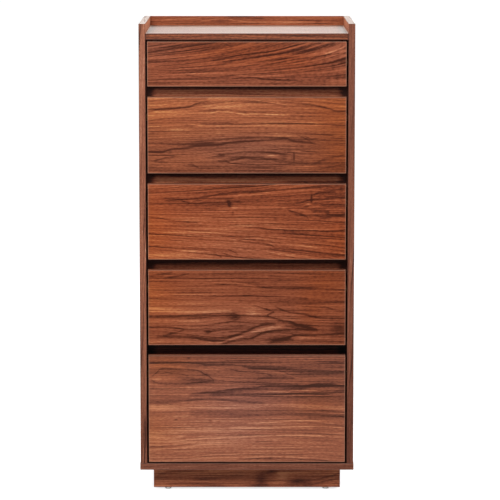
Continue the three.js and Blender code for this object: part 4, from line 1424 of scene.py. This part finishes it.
@dataclass
class Case:
    """The case: sides, top, bottom, back, gallery rail, and the rails between the drawers.

    A rail's shade is painted shadow, cast by the front above it: a tone, and how far it reaches down from
    that front's foot.
    """

    # Painted edge light: dark lines of painted shade in the seams on the sides, rails and gallery rail, a
    # pale painted highlight on the bottom's front edge, and on the top dark painted shade except on faces
    # that look up, which take a painted highlight.
    side_arris: Arris = Arris(2.0 * MM, srgb(80, 44, 36), 0.5, rim=0.4 * MM)
    foot_arris: Arris = Arris(2.0 * MM, srgb(150, 114, 100), 0.4, rim=0.4 * MM)
    top_arris: Arris = Arris(4.0 * MM, srgb(66, 34, 26), 0.85, srgb(184, 140, 116))
    gallery_arris: Arris = Arris(1.5 * MM, srgb(84, 48, 38), 0.3)
    # Painted shade: the rails' tones and darker palettes darken the gaps between the drawers, the lowest
    # gap much the most.
    rail_tones: tuple[float, ...] = (0.72, 0.80, 0.64, 0.55)
    rail_shades: tuple[tuple[float, float], ...] = (
        (-0.60, 13 * MM), (-0.85, 15 * MM), (-1.0, 20 * MM), (-0.7, 13 * MM))

    def build(self) -> None:
        """Dresses the case."""
        self.dress_sides()
        self.dress_flats()
        self.dress_rails()

    def dress_sides(self) -> None:
        """Upright veneer on the two sides, the right one a little duller."""
        # Painted light on the sides: a painted reflection on their ends, painted light near both ends and
        # up the slope, painted shade on the faces inside the case and painted light inside the gallery.
        left = BoardFinish(Way.UPRIGHT, Palette.UMBER, SIDE_WALNUT, painted_light_slope=0.10,
                           end_tone=-0.05, edge_palette=Palette.EDGE, edge_tone=0.06,
                           end_palette=Palette.PAINTED_REFLECTION, painted_end_shading=(0.25, 28 * MM),
                           heart=(-0.3, -0.22), wander=0.025, inside_shade_and_gallery_light=(-0.5, 0.28),
                           seed=41.0, arris=self.side_arris)
        right = replace(left, painted_light_slope=0.04, edge_palette=Palette.DUSK, edge_tone=0.0,
                        heart=(-0.2, 0.28), seed=57.0)
        dress_boards({"left_side_panel": left, "right_side_panel": right})

    def dress_flats(self) -> None:
        """The top, the bottom, the back and the gallery's rail."""
        dress_boards({
            # The top: painted reflection of the gallery's sides near its ends, and painted shade on its
            # underside.
            "top_panel": BoardFinish(Way.ACROSS_FLAT, Palette.GREY, WALNUT, TOP_SATIN,
                                     edge_palette=Palette.WARM, edge_tone=-0.06,
                                     edge_contrast=1.5, inside_shade_and_gallery_light=(-0.5, 0.0),
                                     painted_end_shading=(-0.4, 26 * MM), heart=(-1.0, 0.0),
                                     seed=43.0, arris=self.top_arris),
            # Painted shade on the bottom's upper face, which shows in the seam under the lowest drawer.
            "bottom_panel": BoardFinish(Way.ACROSS_FLAT, Palette.DUSK, tone=0.53,
                                        inside_shade_and_gallery_light=(-0.6, 0.0), heart=(-1.2, 0.05), seed=46.0,
                                        arris=self.foot_arris),
            "back_panel": BoardFinish(Way.UPRIGHT_WIDE, Palette.BOARD, lacquer=RAW,
                                      heart=(-0.6, 0.04), seed=52.0),
        })
        rail = "gallery_back_rail"
        dress(rail, FrontVeneer(rail, GALLERY_FIGURE, arris=self.gallery_arris).material())

    def dress_rails(self) -> None:
        """The four rails, with painted shade: the lowest much the darkest, darker near the front above
        and darker at both ends, by the sides.
        """
        rails = zip(self.rail_tones, self.rail_shades)
        for number, (tone, (shade, reach)) in enumerate(rails, start=1):
            # The lowest rail takes the near-black painted shadow.
            palette = Palette.PAINTED_GAP_SHADOW if number == len(self.rail_tones) else Palette.SHADE
            foot_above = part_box(f"drawer_{number}_front")[0].z
            # Painted shadow of the sides at the rail's ends, and of the front above near its foot.
            finish = BoardFinish(Way.ACROSS_UPRIGHT, palette, WALNUT, tone=tone,
                                 heart=(-1.0, 0.3), heart_radius=0.3, taper=0.0, wander=0.01,
                                 painted_end_shading=(-1.1, 30 * MM), seed=60.0 + 3 * number,
                                 height_shade=(shade, foot_above - reach,
                                               foot_above - 4 * MM),
                                 arris=self.side_arris)
            dress_boards({f"front_rail_{number}": finish})


@dataclass
class Plinth:
    """The recessed plinth, its corner blocks and its glides."""

    heart: tuple[float, float] = (-0.35, 0.05)

    def build(self) -> None:
        """Dresses the plinth."""
        front = "plinth_front_board"
        dress(front, FrontVeneer(front, PLINTH_FIGURE, arris=NO_LINE).material())
        boards = {"back": Way.ACROSS_UPRIGHT, "left": Way.DEEP_UPRIGHT,
                  "right": Way.DEEP_UPRIGHT}
        dress_boards({
            f"plinth_{place}_board": BoardFinish(way, Palette.UMBER, WALNUT, tone=0.55,
                                                 heart=self.heart, heart_radius=0.015,
                                                 taper=0.05, seed=70.0 + len(place))
            for place, way in boards.items()})
        dress_boards({
            f"plinth_block_{corner}": BoardFinish(Way.UPRIGHT, Palette.PINE, PINE, RAW,
                                                  heart=(0.0, 0.25), arris=NO_LINE,
                                                  seed=80.0 + len(corner))
            for corner in CORNERS})
        nylon = Nylon().material("grey_nylon")
        for corner in CORNERS:
            dress(f"glide_{corner}", nylon)


@dataclass
class Runners:
    """The ten hardwood runners on the sides."""

    end_tone: float = -0.45

    def build(self) -> None:
        """Dresses the runners."""
        dress_boards({
            f"runner_{number}_{side}": BoardFinish(Way.DEEP_UPRIGHT, Palette.BEECH, BEECH,
                                                   WAXED, end_tone=self.end_tone,
                                                   seed=90.0 + 2 * number + len(side),
                                                   arris=NO_LINE)
            for number in DRAWERS for side in INWARD})


@dataclass
class DrawerBoxes:
    """The boxes behind the fronts: solid sides and back, and a plywood bottom."""

    heart: tuple[float, float] = (-0.9, 0.05)

    def build(self) -> None:
        """Dresses the boxes."""
        boards = {
            "left_side": (Way.DEEP_UPRIGHT, Palette.BIRCH),
            "right_side": (Way.DEEP_UPRIGHT, Palette.BIRCH),
            "back": (Way.ACROSS_UPRIGHT, Palette.BIRCH),
            "bottom": (Way.ACROSS_FLAT, Palette.PLY),
        }
        dress_boards({
            f"drawer_{number}_{place}": BoardFinish(way, palette, BIRCH, RAW, heart=self.heart,
                                                    seed=110.0 + 7 * number + len(place),
                                                    arris=NO_LINE)
            for number in DRAWERS for place, (way, palette) in boards.items()})


# ------------------------------------------------------------------------------- fasteners
def put(name: str, data: bpy.types.ID) -> bpy.types.Object:
    """Adds an object to the scene.

    Args:
        name: Its name.
        data: Its mesh, light or camera.

    Returns:
        The object.
    """
    item = bpy.data.objects.new(name, data)
    bpy.context.scene.collection.objects.link(item)
    return item


@dataclass(frozen=True)
class Head:
    """What shows of a fastener: a low disc with a cross recess.

    The recess's length and width are shares of the diameter.
    """

    diameter: float
    height: float = 0.5 * MM
    proud: float = 0.3 * MM
    recess_length: float = 0.62
    recess_width: float = 0.13
    recess_depth: float = 0.25 * MM


@dataclass(frozen=True)
class Seat:
    """Where a fastener sits on the wood, and the way that it faces."""

    place: tuple[float, float, float]
    facing: tuple[float, float, float]

    @staticmethod
    def beside(node: str, way: int, y: float, z: float) -> "Seat":
        """A seat on the face of a piece that looks to the right, or to the left for -1."""
        low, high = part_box(node)
        return Seat((high.x if way > 0 else low.x, y, z), (way, 0, 0))


class HeadTree(Nodes):
    """Geometry nodes that set a head on each point of a mesh, each turned by chance."""

    # The tree's inputs for a head's sizes, and the fields of the head that fill them.
    SIZES: dict[str, str] = {"Head Diameter": "diameter", "Head Height": "height",
                             "Recess Length": "recess_length",
                             "Recess Width": "recess_width", "Recess Depth": "recess_depth"}
    SEGMENTS: int = 32
    TOP_RADIUS: float = 0.47  # share of the diameter, so the disc tapers a little
    MARK_RADIUS: float = 0.4  # share of the diameter inside which the cut faces lie
    CLEARANCE: float = 0.01 * MM  # how far the cut faces lie from the top and the underside

    def __init__(self, recess_attribute: str) -> None:
        """Builds the tree.

        Args:
            recess_attribute: Name of the attribute that marks the recesses.
        """
        super().__init__(bpy.data.node_groups.new("set_heads", "GeometryNodeTree"))
        kinds = {"Seats": "Geometry", **dict.fromkeys(self.SIZES, "Float"), "Seed": "Int",
                 "Finish": "Material"}
        self.names = {name: self.declare(name, kind) for name, kind in kinds.items()}
        self.declare("Heads", "Geometry", "OUTPUT")
        inlet = self.add("NodeGroupInput").outputs
        sizes = [Wire(self, inlet[name]) for name in self.SIZES]
        heads = self.out("GeometryNodeInstanceOnPoints", Points=inlet["Seats"],
                         Instance=self.make_head(recess_attribute, *sizes),
                         Rotation=self.make_turn(inlet["Seed"]))
        real = self.out("GeometryNodeRealizeInstances", Geometry=heads)
        dressed = self.out("GeometryNodeSetMaterial", Geometry=real, Material=inlet["Finish"])
        self.add("NodeGroupOutput", {}, dressed)

    def declare(self, name: str, kind: str, way: str = "INPUT") -> str:
        """Gives the tree a named socket of that kind, and returns its identifier."""
        kind = f"NodeSocket{kind}"
        return self.tree.interface.new_socket(name, in_out=way, socket_type=kind).identifier

    def make_head(self, recess_attribute: str, diameter: Wire, height: Wire, length: Wire,
                  width: Wire, depth: Wire) -> Socket:
        """One head: a tapered disc with a cross cut into it.

        Args:
            recess_attribute: Name of the attribute that marks the cut's faces.
            diameter: The disc's diameter.
            height: Its height.
            length: Length of the cross's bars, as a share of the diameter.
            width: Their width, as a share of it.
            depth: Their depth.

        Returns:
            The head's mesh, with its underside on the ground.
        """
        disc = self.out("GeometryNodeMeshCone", Vertices=self.SEGMENTS,
                        Radius_Bottom=diameter * 0.5,
                        Radius_Top=diameter * self.TOP_RADIUS, Depth=height)
        cut = self.add("GeometryNodeMeshBoolean",
                       {"operation": "DIFFERENCE", "solver": "EXACT"}, Mesh_1=disc)
        long, short, deep = diameter * length, diameter * width, depth * 2.0
        for sizes in ((long, short, deep), (short, long, deep)):
            bar = self.out("GeometryNodeMeshCube", Size=self.vector(*sizes))
            moved = self.out("GeometryNodeTransform", Geometry=bar,
                             Translation=self.vector(0.0, 0.0, height))
            self.fill(cut, {"Mesh_2": moved})
        x, y, z = self.split(self.out("GeometryNodeInputPosition"))
        inside = (x * x + y * y).calculate("SQRT").below(diameter * self.MARK_RADIUS)
        recessed = inside * z.below(height - self.CLEARANCE) * z.above(self.CLEARANCE)
        return self.out("GeometryNodeStoreNamedAttribute",
                        {"data_type": "FLOAT", "domain": "FACE"}, Geometry=cut.outputs[0],
                        Name=recess_attribute, Value=recessed)

    def make_turn(self, seed: Socket) -> Socket:
        """The turn of each head: up its seat's way, then round by chance.

        Args:
            seed: What fixes the chance.

        Returns:
            The rotation.
        """
        facing = self.out("GeometryNodeInputNamedAttribute", {"data_type": "FLOAT_VECTOR"},
                          Name="facing")
        upright = self.out("FunctionNodeAlignRotationToVector", {"axis": "Z"}, Vector=facing)
        angle = self.out("FunctionNodeRandomValue", {"data_type": "FLOAT"}, Min=0.0,
                         Max=math.tau, Seed=seed)
        spin = self.out("FunctionNodeAxisAngleToRotation", Axis=(0.0, 0.0, 1.0), Angle=angle)
        return self.out("FunctionNodeRotateRotation", {"rotation_space": "LOCAL"},
                        Rotation=upright, Rotate_By=spin)

    def set_heads(self, name: str, seats: Sequence[Seat], head: Head,
                  finish: bpy.types.Material, seed: int) -> bpy.types.Object:
        """Sets heads on seats and turns them into a plain mesh.

        Args:
            name: The piece's name.
            seats: Where they sit.
            head: What they look like.
            finish: Their material.
            seed: Fixes how they are turned.

        Returns:
            The piece.
        """
        sunk = head.height - head.proud
        feet = [Vector(seat.place) - sunk * Vector(seat.facing) for seat in seats]
        mesh = bpy.data.meshes.new(name)
        mesh.from_pydata(feet, [], [])
        facing = mesh.attributes.new("facing", "FLOAT_VECTOR", "POINT")
        for item, seat in zip(facing.data, seats):
            item.vector = seat.facing
        piece = put(name, mesh)
        modifier = piece.modifiers.new("set_heads", "NODES")
        modifier.node_group = self.tree
        inputs = {label: getattr(head, size) for label, size in self.SIZES.items()}
        for label, value in {**inputs, "Seed": seed, "Finish": finish}.items():
            modifier[self.names[label]] = value
        graph = bpy.context.evaluated_depsgraph_get()
        mesh = bpy.data.meshes.new_from_object(
            piece.evaluated_get(graph), preserve_all_data_layers=True, depsgraph=graph)
        piece.modifiers.clear()
        mesh.polygons.foreach_set("material_index", [0] * len(mesh.polygons))
        mesh.materials.clear()
        mesh.materials.append(finish)
        piece.data = mesh
        return piece


@dataclass
class Fasteners:
    """The metal that shows: screws in the runners, blocks and drawer backs, and cams."""

    screw: Head = Head(7.5 * MM)
    cam: Head = Head(15 * MM, 0.7 * MM, 0.45 * MM, 0.42, 0.10, 0.35 * MM)
    runner_margin: float = 38 * MM
    block_inset: float = 12 * MM
    cam_setback: float = 24 * MM
    cam_above_bottom: float = 22 * MM
    cam_from_runner: float = 30 * MM
    lone_cam_above_runner: float = 24 * MM
    back_screw_margin: float = 16 * MM

    def build(self) -> None:
        """Makes one piece for the case, and two for each drawer."""
        steel = ZincSteel()
        finish = steel.material("zinc_plated_steel")
        heads = HeadTree(steel.recess_attribute)
        pieces = [("case_screws", "carcass", self.case_seats(), self.screw)]
        for number in DRAWERS:
            body = f"drawer_{number}"
            pieces.append((f"{body}_cams", body, self.cam_seats(number), self.cam))
            pieces.append((f"{body}_screws", body, self.back_seats(number), self.screw))
        for seed, (name, body, seats, head) in enumerate(pieces, start=5):
            piece = heads.set_heads(name, seats, head, finish, seed)
            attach(piece, body)
            LOG.info("%s: %d heads on %s", name, len(seats), body)

    def case_seats(self) -> list[Seat]:
        """Three screws in each runner, and one under each plinth block.

        Returns:
            The seats of their heads.
        """
        seats = []
        for number in DRAWERS:
            for side, inward in INWARD.items():
                node = f"runner_{number}_{side}"
                low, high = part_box(node)
                front, back = low.y + self.runner_margin, high.y - self.runner_margin
                seats += [Seat.beside(node, inward, y, (low.z + high.z) / 2)
                          for y in (front, (front + back) / 2, back)]
        for corner in CORNERS:
            low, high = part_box(f"plinth_block_{corner}")
            x = low.x + self.block_inset if "left" in corner else high.x - self.block_inset
            y = low.y + self.block_inset if "front" in corner else high.y - self.block_inset
            seats.append(Seat((x, y, low.z), (0, 0, -1)))
        return seats

    def cam_seats(self, number: int) -> list[Seat]:
        """Cams inside a drawer's sides that draw the front on, clear of the running groove.

        Args:
            number: The drawer, counted from the top.

        Returns:
            The seats of their heads.
        """
        runner_low, runner_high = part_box(f"runner_{number}_left")
        runner = (runner_low.z + runner_high.z) / 2
        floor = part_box(f"drawer_{number}_bottom")[1].z
        heights = [floor + self.cam_above_bottom, runner - self.cam_from_runner]
        if heights[1] - heights[0] < self.cam_from_runner:
            heights = [runner + self.lone_cam_above_runner]
        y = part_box(f"drawer_{number}_front")[1].y + self.cam_setback
        return [Seat.beside(f"drawer_{number}_{side}_side", inward, y, z)
                for side, inward in INWARD.items() for z in heights]

    def back_seats(self, number: int) -> list[Seat]:
        """Screws through a drawer's sides into its back board.

        Args:
            number: The drawer, counted from the top.

        Returns:
            The seats of their heads.
        """
        back_low, back_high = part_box(f"drawer_{number}_back")
        y = (back_low.y + back_high.y) / 2
        seats = []
        for side, inward in INWARD.items():
            node = f"drawer_{number}_{side}_side"
            low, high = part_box(node)
            seats += [Seat.beside(node, -inward, y, z) for z in
                      (low.z + self.back_screw_margin, high.z - self.back_screw_margin)]
        return seats


# ------------------------------------------------------------------------------ the studio
@dataclass(frozen=True)
class Softbox:
    """A rectangular lamp turned to the middle of the chest: its size in metres, power in watts."""

    name: str
    place: tuple[float, float, float]
    size: tuple[float, float]
    power: float
    aim: tuple[float, float, float] = (0, 0, 0.65)

    def build(self) -> None:
        """Hangs the lamp."""
        light = bpy.data.lights.new(self.name, "AREA")
        light.shape = "RECTANGLE"
        light.size, light.size_y = self.size
        light.energy = self.power
        way = Vector(self.aim) - Vector(self.place)
        turn = way.to_track_quat("-Z", "Y").to_matrix().to_4x4()
        put(self.name, light).matrix_world = Matrix.Translation(self.place) @ turn


@dataclass
class Studio:
    """Floor, lamps, sky and camera.

    The floor glows for the camera alone, by the near glow under the chest and fully beyond the
    glow's reach. What glossy surfaces see of the sky turns from the front gloss to the back
    gloss over the gloss turn, which is measured along Y.
    """

    lamps: tuple[Softbox, ...] = (
        Softbox("key_softbox", (-1.7, -4.0, 4.3), (2.2, 1.6), 165.0),
        Softbox("near_softbox", (-0.2, -1.5, 1.60), (1.8, 0.9), 13.5),
        Softbox("fill_softbox", (2.6, -3.2, 3.9), (1.8, 1.4), 70.0),
        Softbox("left_side_softbox", (-2.6, 0.6, 1.9), (1.4, 2.0), 52.0),
        Softbox("right_side_softbox", (2.6, 0.6, 1.9), (1.4, 2.0), 62.0),
        Softbox("back_softbox", (0.4, 3.0, 2.7), (2.0, 1.6), 34.0),
    )
    camera_distance: float = 7.2
    camera_height: float = 1.571
    camera_pitch: float = 7.68
    focal_length: float = 200.37
    sensor_width: float = 36
    shift: float = 0.0062
    far_limit: float = 200
    floor_size: float = 60.0
    floor_colour: Colour = (0.6, 0.6, 0.6)
    floor_roughness: float = 0.9
    floor_specular: float = 0.1
    near_glow: float = 0.72
    glow_reach: tuple[float, float] = (0.6, 3.5)
    ambient: float = 0.064
    front_gloss: float = 0.08
    back_gloss: float = 0.8
    gloss_turn: tuple[float, float] = (-0.2, 0.4)

    def build(self) -> None:
        """Makes all of it."""
        self.make_floor()
        self.make_sky()
        for lamp in self.lamps:
            lamp.build()
        self.make_camera()
        bpy.context.scene.view_settings.view_transform = "Standard"

    def make_floor(self) -> None:
        """A pale floor that the camera sees white, but for the shadow on it."""
        mesh = bpy.data.meshes.new("floor")
        shape = bmesh.new()
        bmesh.ops.create_grid(shape, x_segments=8, y_segments=8, size=self.floor_size / 2)
        shape.to_mesh(mesh)
        shape.free()
        floor = put("floor", mesh)
        recipe = Recipe("pale_floor")
        x, y, _ = recipe.place()
        distance = (x * x + y * y).calculate("SQRT")
        glow = distance.rise(*self.glow_reach).scaled(1 - self.near_glow, self.near_glow)
        seen = Wire(recipe, recipe.add("ShaderNodeLightPath").outputs["Is Camera Ray"])
        recipe.set(Base_Color=self.floor_colour, Roughness=self.floor_roughness,
                   Specular_IOR_Level=self.floor_specular, Emission_Color=WHITE,
                   Emission_Strength=seen * glow)
        mesh.materials.append(recipe.material)

    def make_sky(self) -> None:
        """A soft even sky, white where it is seen directly, or reflected from behind."""
        world = bpy.data.worlds.new("studio")
        bpy.context.scene.world = world
        world.use_nodes = True
        nodes = Nodes(world.node_tree)
        _, back, _ = nodes.split(nodes.add("ShaderNodeTexCoord").outputs["Generated"])
        behind = back.rise(*self.gloss_turn)
        bright = behind.scaled(self.back_gloss - self.front_gloss, self.front_gloss)
        path = nodes.add("ShaderNodeLightPath").outputs
        glossy, through, seen = (Wire(nodes, path[f"Is {ray} Ray"])
                                 for ray in ("Glossy", "Transmission", "Camera"))
        reflected = glossy.calculate("MAXIMUM", through) * bright
        strength = reflected.calculate("MAXIMUM", seen).calculate("MAXIMUM", self.ambient)
        background = nodes.out("ShaderNodeBackground", Color=WHITE, Strength=strength)
        nodes.add("ShaderNodeOutputWorld", Surface=background)

    def make_camera(self) -> None:
        """A long lens at eye height, looking a little down."""
        data = bpy.data.cameras.new("camera")
        data.sensor_width = self.sensor_width
        data.lens = self.focal_length
        data.shift_x = self.shift
        data.clip_end = self.far_limit
        camera = put("camera", data)
        camera.location = (0, -self.camera_distance, self.camera_height)
        camera.rotation_euler = (math.radians(90 - self.camera_pitch), 0, 0)
        bpy.context.scene.camera = camera


def main() -> None:
    """Dresses every piece, adds the fittings and builds the studio."""
    logging.basicConfig(level=logging.INFO, format="%(name)s: %(message)s")
    assemblies = (DrawerFronts(), Case(), Plinth(), Runners(), DrawerBoxes(), Fasteners(),
                  Studio())
    for assembly in assemblies:
        assembly.build()


if __name__ == "__main__":
    main()
